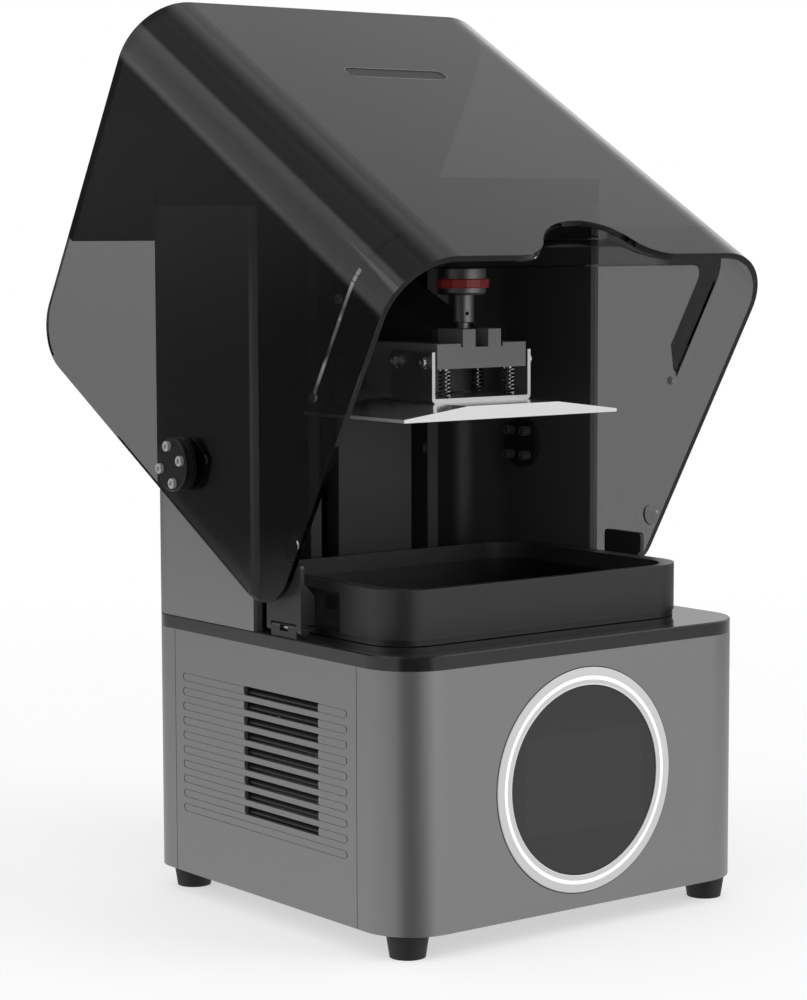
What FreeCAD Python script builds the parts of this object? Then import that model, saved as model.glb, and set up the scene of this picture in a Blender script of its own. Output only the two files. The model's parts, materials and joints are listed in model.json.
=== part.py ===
import FreeCAD, Part
import math
import os
import re

import Sketcher

# A desktop resin printer: a square base with a round screen, a C-shaped column, a lift that carries a
# sprung build plate over a vat, and a smoked hood that swings up on two hubs. Millimetres, +Z up, front
# towards -Y, with the origin on the floor under the middle of the base. The hood stands open at rest.

Vector = FreeCAD.Vector
Rotation = FreeCAD.Rotation
TINY = 1e-6

# Driving sizes
SIZES = (
    # Base
    ("base_width", 300.0),
    ("base_depth", 287.2),
    ("base_height", 166.8),
    ("front_radius", 36.0),
    ("rear_radius", 25.0),
    ("panel_wall", 3.0),
    ("pan_thickness", 2.0),
    ("front_wrap", 45.0),
    ("rear_wrap", 34.4),
    ("seam_gap", 0.6),
    ("fit_gap", 0.2),
    ("foot_height", 16.0),
    ("foot_top_radius", 14.0),
    ("foot_bottom_radius", 11.5),
    ("foot_inset", 22.0),
    ("deck_thickness", 9.2),
    ("deck_chamfer", 0.8),
    ("coupler_gap", 1.0),
    # Louvres of the side panels
    ("louvre_count", 10),
    ("louvre_pitch", 10.0),
    ("louvre_drop", 31.5),
    ("louvre_length", 188.0),
    ("louvre_height", 6.0),
    ("louvre_line", 0.9),
    ("louvre_depth", 0.7),
    ("louvre_shift", 5.5),
    ("vent_count", 9),
    ("vent_length", 83.5),
    ("vent_height", 6.2),
    ("vent_shift", -15.6),
    # Round screen
    ("screen_height", 83.5),
    ("bezel_radius", 74.0),
    ("bezel_inner_radius", 62.6),
    ("bezel_hole_radius", 66.0),
    ("bezel_proud", 3.0),
    ("bezel_depth", 4.0),
    ("bezel_chamfer", 1.0),
    ("light_inner_radius", 66.6),
    ("light_outer_radius", 70.0),
    ("light_depth", 1.6),
    ("glass_thickness", 3.0),
    ("glass_sunk", 0.8),
    ("display_width", 98.6),
    ("display_height", 60.0),
    ("display_depth", 5.0),
    # Screen panel under the vat, lamp and funnel
    ("print_y", -18.0),
    ("window_width", 188.0),
    ("window_depth", 112.0),
    ("gasket_width", 3.0),
    ("lcd_thickness", 3.0),
    ("lamp_width", 120.0),
    ("lamp_depth", 84.0),
    ("lamp_thickness", 2.0),
    ("led_size", 7.0),
    ("led_height", 1.6),
    ("led_columns", 6),
    ("led_rows", 4),
    ("funnel_wall", 2.0),
    ("sink_height", 34.0),
    ("sink_base", 6.0),
    ("sink_fin", 2.0),
    ("sink_fin_count", 11),
    # Fan and electrics
    ("fan_size", 80.0),
    ("fan_depth", 25.0),
    ("fan_bore", 38.0),
    ("fan_hub", 17.0),
    ("fan_tip_gap", 1.0),
    ("fan_blade", 1.6),
    ("fan_blade_count", 7),
    ("fan_inset", 75.0),
    ("fan_z", 100.0),
    ("fan_strut", 5.0),
    ("fan_pin_radius", 1.5),
    ("fan_corner", 3.0),
    ("fan_strut_depth", 3.0),
    ("fan_strut_root", 1.0),
    ("fan_end_gap", 2.0),
    ("fan_lean", 8.0),
    ("fan_blade_root", 2.0),
    ("grille_slot", 4.0),
    ("grille_pitch", 8.0),
    ("grille_count", 9),
    ("grille_margin", 2.0),
    ("board_width", 110.0),
    ("board_height", 90.0),
    ("board_thickness", 1.6),
    ("board_post", 6.0),
    ("board_post_radius", 3.0),
    ("board_post_inset", 4.0),
    ("board_rise", 12.0),
    ("chip_inset", 15.0),
    ("chip_row", 20.0),
    ("driver_length", 30.0),
    ("driver_width", 18.0),
    ("driver_height", 14.0),
    ("processor_size", 22.0),
    ("processor_height", 4.0),
    ("relay_size", 16.0),
    ("relay_height", 8.0),
    ("socket_length", 24.0),
    ("socket_width", 10.0),
    ("socket_height", 10.0),
    ("supply_width", 50.0),
    ("supply_depth", 150.0),
    ("supply_height", 90.0),
    ("supply_gap", 4.0),
    ("supply_slot", 4.0),
    ("supply_slot_depth", 1.0),
    ("supply_slot_margin", 20.0),
    ("supply_slot_pitch", 18.75),
    ("inlet_width", 28.0),
    ("inlet_height", 20.0),
    ("inlet_flange", 3.5),
    ("inlet_depth", 20.0),
    ("inlet_lip", 2.0),
    ("inlet_wall", 2.0),
    ("inlet_floor", 3.0),
    ("blade_spread", 7.0),
    ("blade_rise", 2.0),
    ("blade_drop", 1.5),
    ("blade_width", 2.0),
    ("blade_height", 3.0),
    ("blade_root", 1.0),
    ("inlet_inset", 45.0),
    ("outlet_z", 50.0),
    ("switch_inset", 88.0),
    ("switch_width", 13.0),
    ("switch_height", 19.0),
    ("switch_flange", 2.0),
    ("switch_proud", 2.5),
    ("switch_tilt_angle", 8.0),
    ("switch_depth", 14.0),
    ("switch_lip", 1.5),
    ("switch_wall", 1.5),
    ("switch_hollow", 10.0),
    ("switch_axis_depth", 3.0),
    ("switch_pin_radius", 1.2),
    ("rocker_depth", 4.0),
    ("rocker_side_gap", 0.4),
    ("rocker_end_gap", 1.1),
    ("port_inset", 125.0),
    ("port_width", 14.0),
    ("port_height", 7.0),
    ("port_depth", 12.0),
    ("port_mouth_depth", 8.0),
    ("port_wall", 1.0),
    # Column and lift guides
    ("column_depth", 129.6),
    ("column_wall", 7.0),
    ("column_skin", 3.0),
    ("liner_radius", 30.0),
    ("column_height", 277.5),
    ("column_cap", 17.0),
    ("cap_skin", 4.0),
    ("cap_corner", 1.0),
    ("channel_width", 112.0),
    ("channel_depth", 56.6),
    ("channel_sheet", 2.0),
    ("slot_inner", 32.0),
    ("slot_width", 15.0),
    ("slot_foot", 8.0),
    ("back_plate", 6.0),
    ("back_plate_width", 100.0),
    ("rail_width", 9.0),
    ("rail_depth", 6.5),
    ("rail_end", 6.0),
    ("rail_gap", 0.3),
    ("block_width", 20.0),
    ("block_height", 40.0),
    ("block_rise", 15.0),
    ("block_gap", 1.5),
    ("screw_y", 118.0),
    ("screw_radius", 4.0),
    ("screw_fit", 0.05),
    ("screw_end_gap", 1.0),
    ("motor_size", 42.3),
    ("motor_height", 48.0),
    ("motor_chamfer", 5.0),
    ("motor_boss", 2.0),
    ("shaft_radius", 2.5),
    ("shaft_length", 12.0),
    ("shaft_end_gap", 1.0),
    ("coupler_radius", 9.5),
    ("coupler_height", 24.0),
    ("bearing_width", 40.0),
    ("bearing_height", 12.0),
    ("bearing_front", 9.0),
    ("nut_radius", 8.0),
    ("nut_length", 22.0),
    ("nut_gap", 2.0),
    ("lug_width", 28.0),
    ("lug_gap", 2.0),
    ("carriage_plate", 8.0),
    ("carriage_height", 70.0),
    ("carriage_width", 92.0),
    ("carriage_drop", 12.0),
    # Arm, head and build plate
    ("plate_rest", 138.3),
    ("plate_width", 182.0),
    ("plate_depth", 107.0),
    ("plate_thickness", 8.9),
    ("plate_rim", 2.2),
    ("plate_top_width", 77.0),
    ("bracket_width", 84.6),
    ("bracket_depth", 44.0),
    ("bracket_wall", 2.5),
    ("bracket_floor", 3.0),
    ("bracket_height", 33.8),
    ("bend_outer", 3.0),
    ("bend_inner", 1.0),
    ("head_width", 76.0),
    ("head_front", 20.5),
    ("head_height", 16.5),
    ("skirt_start", 26.0),
    ("skirt_depth", 32.0),
    ("skirt_gap", 4.0),
    ("upstand_inner", 5.5),
    ("upstand_outer", 16.3),
    ("upstand_height", 9.3),
    ("upstand_depth", 27.0),
    ("relief_width", 1.7),
    ("notch_depth", 2.5),
    ("spring_gap", 19.5),
    ("spring_radius", 3.3),
    ("spring_wire", 1.3),
    ("spring_turns", 6),
    ("spring_x", 27.5),
    ("spring_y", 17.0),
    ("spring_shift", 1.5),
    ("spring_seat", 0.1),
    ("arm_half_width", 20.0),
    ("arm_nose", 8.5),
    ("arm_slope_angle", 24.7),
    ("tongue_reach", 8.0),
    ("tongue_gap", 1.0),
    ("arm_back", 94.0),
    ("arm_cross_depth", 32.0),
    ("arm_clear", 37.7),
    ("arm_cross_step", 10.0),
    ("arm_cross_height", 40.0),
    ("arm_root", 1.0),
    ("leg_width", 11.0),
    ("slide_gap", 0.3),
    ("tee_web", 4.5),
    ("tee_width", 12.0),
    ("tee_height", 5.4),
    ("tee_drop", 11.0),
    ("tee_lead", 6.0),
    ("tee_end_gap", 2.0),
    ("slot_clear", 1.0),
    ("side_screw_radius", 2.0),
    ("side_screw_head", 3.5),
    ("side_screw_height", 4.0),
    ("side_screw_seat", 0.4),
    ("front_screw_y", 13.7),
    ("rear_screw_y", 17.5),
    ("side_screw_drop", 12.0),
    ("float_travel", 2.0),
    ("knob_radius", 15.6),
    ("knob_height", 18.7),
    ("knob_base", 23.3),
    ("knob_band_low", 4.5),
    ("knob_band", 6.2),
    ("knob_band_depth", 2.0),
    ("knob_seat", 0.2),
    ("band_fit", 0.02),
    ("band_proud", 2.5),
    ("knob_chamfer", 1.5),
    ("knob_hole_radius", 1.3),
    ("knob_hole_rise", 5.8),
    ("knob_turn_angle", 15.0),
    ("stem_radius", 7.5),
    ("stem_low", 5.0),
    ("tip_radius", 2.5),
    # Vat
    ("vat_width", 254.0),
    ("vat_depth", 182.0),
    ("vat_height", 31.6),
    ("vat_radius", 30.0),
    ("vat_wall", 5.0),
    ("vat_side_wall", 12.0),
    ("vat_floor", 3.0),
    ("pocket_length", 64.5),
    ("pocket_depth", 9.0),
    ("pocket_rim", 5.5),
    ("pocket_corner", 3.0),
    ("film_window_width", 212.0),
    ("film_window_depth", 134.0),
    ("frame_height", 3.9),
    ("frame_inset", 0.8),
    ("film_thickness", 0.4),
    ("film_gap", 0.1),
    ("film_margin", 6.0),
    # Side clamps
    ("clamp_length", 38.0),
    ("clamp_plate", 3.0),
    ("clamp_height", 48.5),
    ("clamp_edge", 1.5),
    ("clamp_corner", 3.0),
    ("clamp_wing_sheet", 2.0),
    ("clamp_axis", 5.7),
    ("clamp_barrel", 3.4),
    ("clamp_pin", 1.5),
    ("clamp_fit", 0.05),
    ("clamp_wing", 8.0),
    ("clamp_wing_height", 22.0),
    ("clamp_reach_height", 8.0),
    ("clamp_reach_level", 14.0),
    ("clamp_reach_width", 12.0),
    ("clamp_pad_gap", 0.4),
    ("knuckle_gap", 0.3),
    ("knuckle_length", 28.0),
    ("knuckle_window", 9.0),
    ("knuckle_window_height", 4.0),
    # Hood
    ("hood_gap", 3.4),
    ("hood_wall", 4.0),
    ("hood_radius", 44.5),
    ("hinge_y", 87.3),
    ("hinge_rise", 105.4),
    ("hood_reach", 243.3),
    ("hood_back", 29.4),
    ("hood_drop", 139.1),
    ("hood_rise", 200.6),
    ("hood_cap_back", 57.3),
    ("hood_corner", 33.0),
    ("hood_open_angle", 59.78),
    ("wave_height", 42.4),
    ("wave_crown", 13.0),
    ("wave_left", 79.0),
    ("wave_right", 53.0),
    ("wave_left_share", 0.59),
    ("wave_right_share", 0.55),
    ("baffle_set", 35.4),
    ("baffle_thickness", 3.0),
    ("baffle_front", 26.5),
    ("baffle_side", 15.0),
    ("baffle_end", 122.5),
    ("baffle_slant", 25.0),
    ("baffle_radius", 14.0),
    ("arch_gap", 0.8),
    ("arch_wall", 3.0),
    ("arch_edge", 0.8),
    ("badge_length", 86.0),
    ("badge_height", 13.0),
    ("badge_depth", 1.0),
    ("badge_sunk", 0.3),
    ("badge_rise", 103.8),
    ("magnet_radius", 7.0),
    ("magnet_depth", 2.0),
    ("magnet_y", 24.5),
    ("magnet_drop", 130.7),
    # Hood hubs
    ("hub_radius", 18.0),
    ("hub_thickness", 8.0),
    ("hub_step", 1.2),
    ("hub_ring", 2.4),
    ("hub_dish", 3.0),
    ("hub_dish_gap", 1.0),
    ("hub_edge", 0.6),
    ("pin_end", 2.0),
    ("pin_radius", 7.0),
    ("pin_fit", 0.05),
    ("collar_radius", 14.0),
    ("flange_radius", 18.5),
    ("flange_thickness", 4.0),
    ("cap_screw_circle", 12.7),
    ("cap_screw_radius", 3.5),
    ("cap_screw_socket", 1.6),
    ("socket_depth", 1.5),
    ("cap_screw_height", 3.0),
    ("stud_length", 7.0),
)

# Sizes worked out from the driving ones
DERIVED = (
    ("half_width", "base_width / 2"),
    ("half_depth", "base_depth / 2"),
    ("front_seam", "front_wrap - half_depth"),
    ("rear_seam", "half_depth - rear_wrap"),
    ("pan_inset", "panel_wall + fit_gap"),
    ("pan_top", "foot_height + pan_thickness"),
    ("deck_bottom", "foot_height + base_height"),
    ("deck_top", "deck_bottom + deck_thickness"),
    ("screen_z", "foot_height + screen_height"),
    ("louvre_z", "deck_bottom - louvre_drop"),
    ("louvre_end", "louvre_height / 2"),
    ("louvre_half", "louvre_length / 2 - louvre_end"),
    ("outlet_level", "foot_height + outlet_z"),
    ("fan_level", "foot_height + fan_z"),
    ("inside_rear", "half_depth - panel_wall"),
    ("fan_x", "fan_inset - half_width"),
    ("inlet_x", "half_width - inlet_inset"),
    ("switch_x", "half_width - switch_inset"),
    ("port_x", "half_width - port_inset"),
    ("lcd_bottom", "deck_top - lcd_thickness"),
    ("lamp_bottom", "pan_top + sink_height"),
    ("lamp_top", "lamp_bottom + lamp_thickness"),
    ("column_front", "half_depth - column_depth"),
    ("column_inside", "half_width - column_wall"),
    ("column_back", "half_depth - column_wall"),
    ("liner_inset", "column_skin + fit_gap"),
    ("column_top", "deck_top + column_height"),
    ("channel_front", "column_back - channel_depth"),
    ("slot_outer", "slot_inner + slot_width"),
    ("back_plate_y", "column_back - back_plate"),
    ("rail_x", "slot_inner + slot_width / 2"),
    ("rail_y", "back_plate_y - rail_depth"),
    ("carriage_y", "screw_y - nut_radius - carriage_plate - nut_gap"),
    ("motor_top", "deck_bottom + motor_boss"),
    ("coupler_bottom", "motor_top + fit_gap"),
    ("screw_bottom", "coupler_bottom + shaft_length"),
    ("bearing_bottom", "column_top - bearing_height"),
    ("plate_bottom", "deck_top + plate_rest"),
    ("plate_top", "plate_bottom + plate_thickness"),
    ("floor_top", "plate_top + bracket_floor"),
    ("head_bottom", "floor_top + spring_gap"),
    ("head_top", "head_bottom + head_height"),
    ("head_y", "print_y - head_front"),
    ("skirt_y", "print_y + skirt_start"),
    ("nose_top", "head_top + arm_nose"),
    ("arm_front", "head_y + upstand_depth + tongue_gap"),
    ("tongue_front", "print_y - tongue_reach"),
    ("arm_rear", "print_y + arm_back"),
    ("arm_cross", "arm_rear - arm_cross_depth"),
    ("arm_top", "nose_top + (arm_rear - arm_front) * tan(arm_slope_angle)"),
    ("arm_bottom", "plate_bottom + arm_clear"),
    ("leg_inner", "rail_x - leg_width / 2"),
    ("leg_outer", "rail_x + leg_width / 2"),
    ("tee_bottom", "head_top - tee_drop"),
    ("tee_front", "print_y - tee_lead"),
    ("knob_bottom", "nose_top + knob_base"),
    ("stem_bottom", "nose_top + stem_low"),
    ("screw_level", "head_top - side_screw_drop"),
    ("vat_half_width", "vat_width / 2"),
    ("vat_front", "print_y - vat_depth / 2"),
    ("vat_back", "print_y + vat_depth / 2"),
    ("film_bottom", "deck_top + film_gap"),
    ("frame_bottom", "film_bottom + film_thickness"),
    ("vat_bottom", "frame_bottom + frame_height"),
    ("vat_top", "vat_bottom + vat_height"),
    ("clamp_x", "half_width - clamp_edge - clamp_plate"),
    ("clamp_z", "deck_top + clamp_axis"),
    ("clamp_pin_x", "clamp_x + clamp_plate - clamp_barrel"),
    ("hinge_z", "deck_top + hinge_rise"),
    ("hood_inside", "half_width + hood_gap"),
    ("hood_outside", "hood_inside + hood_wall"),
    ("wave_left_sum", "(wave_left ^ 2 + wave_height ^ 2) / (2 * wave_height)"),
    ("wave_right_sum", "(wave_right ^ 2 + wave_height ^ 2) / (2 * wave_height)"),
    ("left_top_radius", "wave_left_sum * wave_left_share"),
    ("left_foot_radius", "wave_left_sum * (1 - wave_left_share)"),
    ("right_top_radius", "wave_right_sum * wave_right_share"),
    ("right_foot_radius", "wave_right_sum * (1 - wave_right_share)"),
    ("baffle_bottom", "baffle_set - hood_drop"),
    ("arch_depth", "hood_reach - hood_wall - hinge_y - half_depth - arch_gap"),
)

doc = FreeCAD.newDocument("ResinPrinter")
sheet = doc.addObject("Spreadsheet::Sheet", "Sizes")
ALIASES = set()
SUBPARTS = []
WORD = re.compile(r"[a-z][a-z_]*")


def fill_sheet():
    """Write each size beside its name, and name its cell."""
    rows = [(name, str(number)) for name, number in SIZES]
    rows += [(name, "=" + formula) for name, formula in DERIVED]
    for row, (name, content) in enumerate(rows, start=1):
        sheet.set("A%d" % row, name)
        sheet.set("B%d" % row, content)
        sheet.setAlias("B%d" % row, name)
        ALIASES.add(name)
    doc.recompute()


def bound(formula):
    """Put the sheet's name before each size in a formula."""

    def named(match):
        word = match.group()
        return "Sizes." + word if word in ALIASES else word

    return WORD.sub(named, formula)


def number(formula):
    """The present value of a formula."""
    return float(sheet.evalExpression(str(formula)))


def place(thing, x="0", y="0", z="0", axis=None, angle=0.0):
    """Bind a thing's place to the sheet, after an optional turn about one axis."""
    if axis is not None:
        thing.Placement = FreeCAD.Placement(Vector(), Rotation(axis, angle))
    for letter, formula in zip("xyz", (x, y, z)):
        thing.setExpression("Placement.Base." + letter, bound(formula))
    return thing


def place_in_hood(thing):
    """Stand a thing that was drawn in the closed hood, about the hinge axis, in the open hood."""
    place(thing, "0", "hinge_y", "hinge_z", Vector(1, 0, 0), -1.0)
    thing.setExpression("Placement.Rotation.Angle", bound("-hood_open_angle"))
    return thing


def subpart(thing, label):
    """Give a finished thing the name of its file."""
    thing.Label = label
    SUBPARTS.append(thing)
    return thing


# Plain solids

X_AXIS = Vector(1, 0, 0)
Y_AXIS = Vector(0, 1, 0)


def box(name, corner, size):
    """A block from its lowest corner and its three sides."""
    thing = doc.addObject("Part::Box", name)
    for side, formula in zip(("Length", "Width", "Height"), size):
        thing.setExpression(side, bound(formula))
    return place(thing, *corner)


def rod(name, start, radius, length, along="z"):
    """A round bar that runs from its start along one axis."""
    thing = doc.addObject("Part::Cylinder", name)
    thing.setExpression("Radius", bound(radius))
    thing.setExpression("Height", bound(length))
    turns = {"z": (None, 0.0), "x": (Y_AXIS, 90.0), "y": (X_AXIS, -90.0)}
    return place(thing, *start, *turns[along])


def outward_rod(name, way, start, y, z, radius, length):
    """A round bar along X on one side (-1 left, 1 right) that starts at a distance from the middle."""
    low = start if way > 0 else "-(%s) - (%s)" % (start, length)
    return rod(name, (low, y, z), radius, length, "x")


def joined(name, pieces):
    """Several solids that make one piece."""
    thing = doc.addObject("Part::MultiFuse", name)
    thing.Shapes = pieces
    return thing


def cut(name, base, tools):
    """A solid less one or more tools."""
    thing = doc.addObject("Part::Cut", name)
    thing.Base = base
    thing.Tool = tools[0] if len(tools) == 1 else joined(name + "Tools", tools)
    return thing


def grouped(name, pieces):
    """Separate solids that share one name."""
    thing = doc.addObject("Part::Compound", name)
    thing.Links = pieces
    return thing


def mirrored(name, source):
    """The same piece on the other side of the middle."""
    thing = doc.addObject("Part::Mirroring", name)
    thing.Source = source
    thing.Normal = X_AXIS
    return thing


# Bodies drawn with sketches

def new_body(name):
    return doc.addObject("PartDesign::Body", name)


def sketch_on(body, name, plane, lift="0"):
    """A sketch on one of the body's own planes, lifted along the plane's normal."""
    sketch = body.newObject("Sketcher::SketchObject", name)
    support = [feature for feature in body.Origin.OriginFeatures if feature.Role == plane]
    sketch.AttachmentSupport = [(support[0], "")]
    sketch.MapMode = "FlatFace"
    sketch.setExpression("AttachmentOffset.Base.z", bound(lift))
    return sketch


def stepped(formula, radius, sign):
    """A corner's coordinate moved by its radius, forward, back or not at all."""
    return {1: "(%s) + (%s)", -1: "(%s) - (%s)"}[sign] % (formula, radius) if sign else formula


def sign_of(value):
    return 0 if abs(value) < TINY else int(math.copysign(1, value))


def round_corners(corners):
    """Turn corners that have a radius into arcs: points with a radius and a turning side."""
    points = []
    places = [(number(corner[0]), number(corner[1])) for corner in corners]
    for index, corner in enumerate(corners):
        if len(corner) == 2:
            points.append((corner[0], corner[1], None, 0))
            continue
        x, y, radius = corner
        before = places[index - 1]
        here = places[index]
        after = places[(index + 1) % len(corners)]
        arriving = (sign_of(here[0] - before[0]), sign_of(here[1] - before[1]))
        leaving = (sign_of(after[0] - here[0]), sign_of(after[1] - here[1]))
        side = arriving[0] * leaving[1] - arriving[1] * leaving[0]
        points.append((stepped(x, radius, -arriving[0]), stepped(y, radius, -arriving[1]), radius, side))
        points.append((stepped(x, radius, leaving[0]), stepped(y, radius, leaving[1]), None, 0))
    return points


def arc_between(start, end, radius, side):
    """The arc of a radius from start to end that turns left (1) or right (-1), less than a half circle."""
    chord = end - start
    middle = (start + end) * 0.5
    across = Vector(-chord.y, chord.x, 0).normalize()
    height = math.sqrt(max(radius ** 2 - (chord.Length / 2) ** 2, 0.0))
    centre = middle + across * (height * side)
    away = middle - centre if height > TINY else across * -side
    crown = centre + away.normalize() * radius
    return Part.Arc(start, crown, end)


def draw(sketch, points):
    """Draw a closed outline whose points and radii come from the sheet."""
    spots = [Vector(number(x), number(y), 0) for x, y, radius, side in points]
    count = len(points)
    first = sketch.GeometryCount
    ties = []
    formulas = []
    for index, (x, y, radius, side) in enumerate(points):
        start, end = spots[index], spots[(index + 1) % count]
        if radius is None:
            sketch.addGeometry(Part.LineSegment(start, end))
        else:
            sketch.addGeometry(arc_between(start, end, number(radius), side))

    def ends(index):
        """The start and end of a stretch: an arc that turns right is stored the other way round."""
        radius, side = points[index][2:]
        return (2, 1) if radius is not None and side < 0 else (1, 2)

    for index, (x, y, radius, side) in enumerate(points):
        here = first + index
        after = (index + 1) % count
        ties.append(Sketcher.Constraint("Coincident", here, ends(index)[1], first + after, ends(after)[0]))
        formulas.append(None)
        for kind, formula in (("DistanceX", x), ("DistanceY", y)):
            ties.append(Sketcher.Constraint(kind, -1, 1, here, ends(index)[0], number(formula)))
            formulas.append(formula)
        if radius is not None:
            ties.append(Sketcher.Constraint("Radius", here, number(radius)))
            formulas.append(radius)
    numbers = sketch.addConstraint(ties)
    for tie, formula in zip(numbers, formulas):
        if formula is not None:
            sketch.setExpression("Constraints[%d]" % tie, bound(formula))
    return sketch


def outline(body, name, plane, lift, corners):
    """A sketch with one closed outline, its corners sharp or rounded."""
    return draw(sketch_on(body, name, plane, lift), round_corners(corners))


def add_circle(sketch, x, y, radius):
    """A circle placed by the sheet."""
    index = sketch.addGeometry(Part.Circle(Vector(number(x), number(y), 0), Vector(0, 0, 1), number(radius)))
    ties = [
        Sketcher.Constraint("DistanceX", -1, 1, index, 3, number(x)),
        Sketcher.Constraint("DistanceY", -1, 1, index, 3, number(y)),
        Sketcher.Constraint("Radius", index, number(radius)),
    ]
    for tie, formula in zip(sketch.addConstraint(ties), (x, y, radius)):
        sketch.setExpression("Constraints[%d]" % tie, bound(formula))


def add_obround(sketch, x, y, half, radius):
    """A slot with round ends along the sketch's first axis; half is from its middle to an end's centre."""
    mid_x, mid_y, reach, end = number(x), number(y), number(half), number(radius)
    low, high = mid_y - end, mid_y + end
    left, right = mid_x - reach, mid_x + reach
    first = sketch.GeometryCount
    sketch.addGeometry(Part.LineSegment(Vector(left, low, 0), Vector(right, low, 0)))
    sketch.addGeometry(Part.Arc(Vector(right, low, 0), Vector(right + end, mid_y, 0), Vector(right, high, 0)))
    sketch.addGeometry(Part.LineSegment(Vector(right, high, 0), Vector(left, high, 0)))
    sketch.addGeometry(Part.Arc(Vector(left, high, 0), Vector(left - end, mid_y, 0), Vector(left, low, 0)))
    for here in range(4):
        after = (here + 1) % 4
        sketch.addConstraint(Sketcher.Constraint("Tangent", first + here, 2, first + after, 1))
    sketch.addConstraint(Sketcher.Constraint("Horizontal", first))
    right_end, left_end = first + 1, first + 3
    driven = (
        (Sketcher.Constraint("DistanceX", -1, 1, right_end, 3, right), "(%s) + (%s)" % (x, half)),
        (Sketcher.Constraint("DistanceY", -1, 1, right_end, 3, mid_y), y),
        (Sketcher.Constraint("DistanceX", -1, 1, left_end, 3, left), "(%s) - (%s)" % (x, half)),
        (Sketcher.Constraint("Radius", right_end, end), radius),
    )
    for tie, formula in driven:
        sketch.setExpression("Constraints[%d]" % sketch.addConstraint(tie), bound(formula))


def pad(body, sketch, length):
    """Material from a sketch along its plane's normal."""
    feature = body.newObject("PartDesign::Pad", sketch.Name + "Pad")
    feature.Profile = sketch
    feature.setExpression("Length", bound(length))
    return feature


def pocket(body, sketch, depth, forward=False):
    """A cut from a sketch against its plane's normal, or along it."""
    feature = body.newObject("PartDesign::Pocket", sketch.Name + "Pocket")
    feature.Profile = sketch
    feature.Reversed = forward
    feature.setExpression("Length", bound(depth))
    return feature


def turned(body, sketch):
    """A body of revolution about its sketch's upright axis."""
    feature = body.newObject("PartDesign::Revolution", sketch.Name + "Turn")
    feature.Profile = sketch
    feature.ReferenceAxis = (sketch, ["V_Axis"])
    feature.Angle = 360.0
    return feature


def repeated(body, features, sketch, axis, pitch, count, backwards=False):
    """Features repeated in a row along one of a sketch's axes."""
    pattern = body.newObject("PartDesign::LinearPattern", features[0].Name + "Row")
    pattern.Originals = features
    pattern.Direction = (sketch, [axis])
    pattern.Reversed = backwards
    pattern.setExpression("Length", bound("(%s) * (%s - 1)" % (pitch, count)))
    pattern.setExpression("Occurrences", bound(count))
    body.Tip = pattern
    return pattern


def edges_where(feature, test):
    """The names of a feature's edges whose middle passes a test."""
    names = []
    for index, edge in enumerate(feature.Shape.Edges, start=1):
        middle = edge.valueAt((edge.FirstParameter + edge.LastParameter) / 2)
        if test(edge, middle):
            names.append("Edge%d" % index)
    return names


def dressed(body, kind, base, names, prop, formula):
    """A fillet or a chamfer on named edges."""
    feature = body.newObject("PartDesign::" + kind, base.Name + kind)
    feature.Base = (base, names)
    feature.setExpression(prop, bound(formula))
    return feature


def rounded_box(half_x, low_y, high_y, front, rear):
    """Corners of an outline about the middle, with one radius in front and one behind."""
    return [
        ("-(%s)" % half_x, low_y, front),
        (half_x, low_y, front),
        (half_x, high_y, rear),
        ("-(%s)" % half_x, high_y, rear),
    ]


def rectangle(low_x, low_y, high_x, high_y):
    return [(low_x, low_y), (high_x, low_y), (high_x, high_y), (low_x, high_y)]


def base_outline(inset):
    """The base's outline seen from above, drawn in by an inset."""
    half = "half_width - (%s)" % inset
    back = "half_depth - (%s)" % inset
    front, rear = "front_radius - (%s)" % inset, "rear_radius - (%s)" % inset
    return rounded_box(half, "-(%s)" % back, back, front, rear)


def cup_outline(mouth, end, radius, wall, way):
    """A wall bent round one end of the base; way is -1 for the front and 1 for the rear."""
    inner = "half_width - (%s)" % wall
    inner_end = "(%s) - (%s) * (%d)" % (end, wall, way)
    inner_radius = "(%s) - (%s)" % (radius, wall)
    return [
        ("-half_width", mouth),
        ("-half_width", end, radius),
        ("half_width", end, radius),
        ("half_width", mouth),
        (inner, mouth),
        (inner, inner_end, inner_radius),
        ("-(%s)" % inner, inner_end, inner_radius),
        ("-(%s)" % inner, mouth),
    ]


# Base

def build_bottom_pan():
    body = new_body("BottomPan")
    sketch = outline(body, "PanOutline", "XY_Plane", "foot_height", base_outline("pan_inset"))
    pad(body, sketch, "pan_thickness")
    subpart(body, "bottom_pan")


def build_front_shell():
    body = new_body("FrontShell")
    corners = cup_outline("front_seam", "-half_depth", "front_radius", "panel_wall", -1)
    pad(body, outline(body, "FrontOutline", "XY_Plane", "foot_height", corners), "base_height")
    hole = sketch_on(body, "FrontHole", "XZ_Plane", "half_depth")
    add_circle(hole, "0", "screen_z", "bezel_hole_radius")
    pocket(body, hole, "panel_wall")
    subpart(body, "front_shell")


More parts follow.
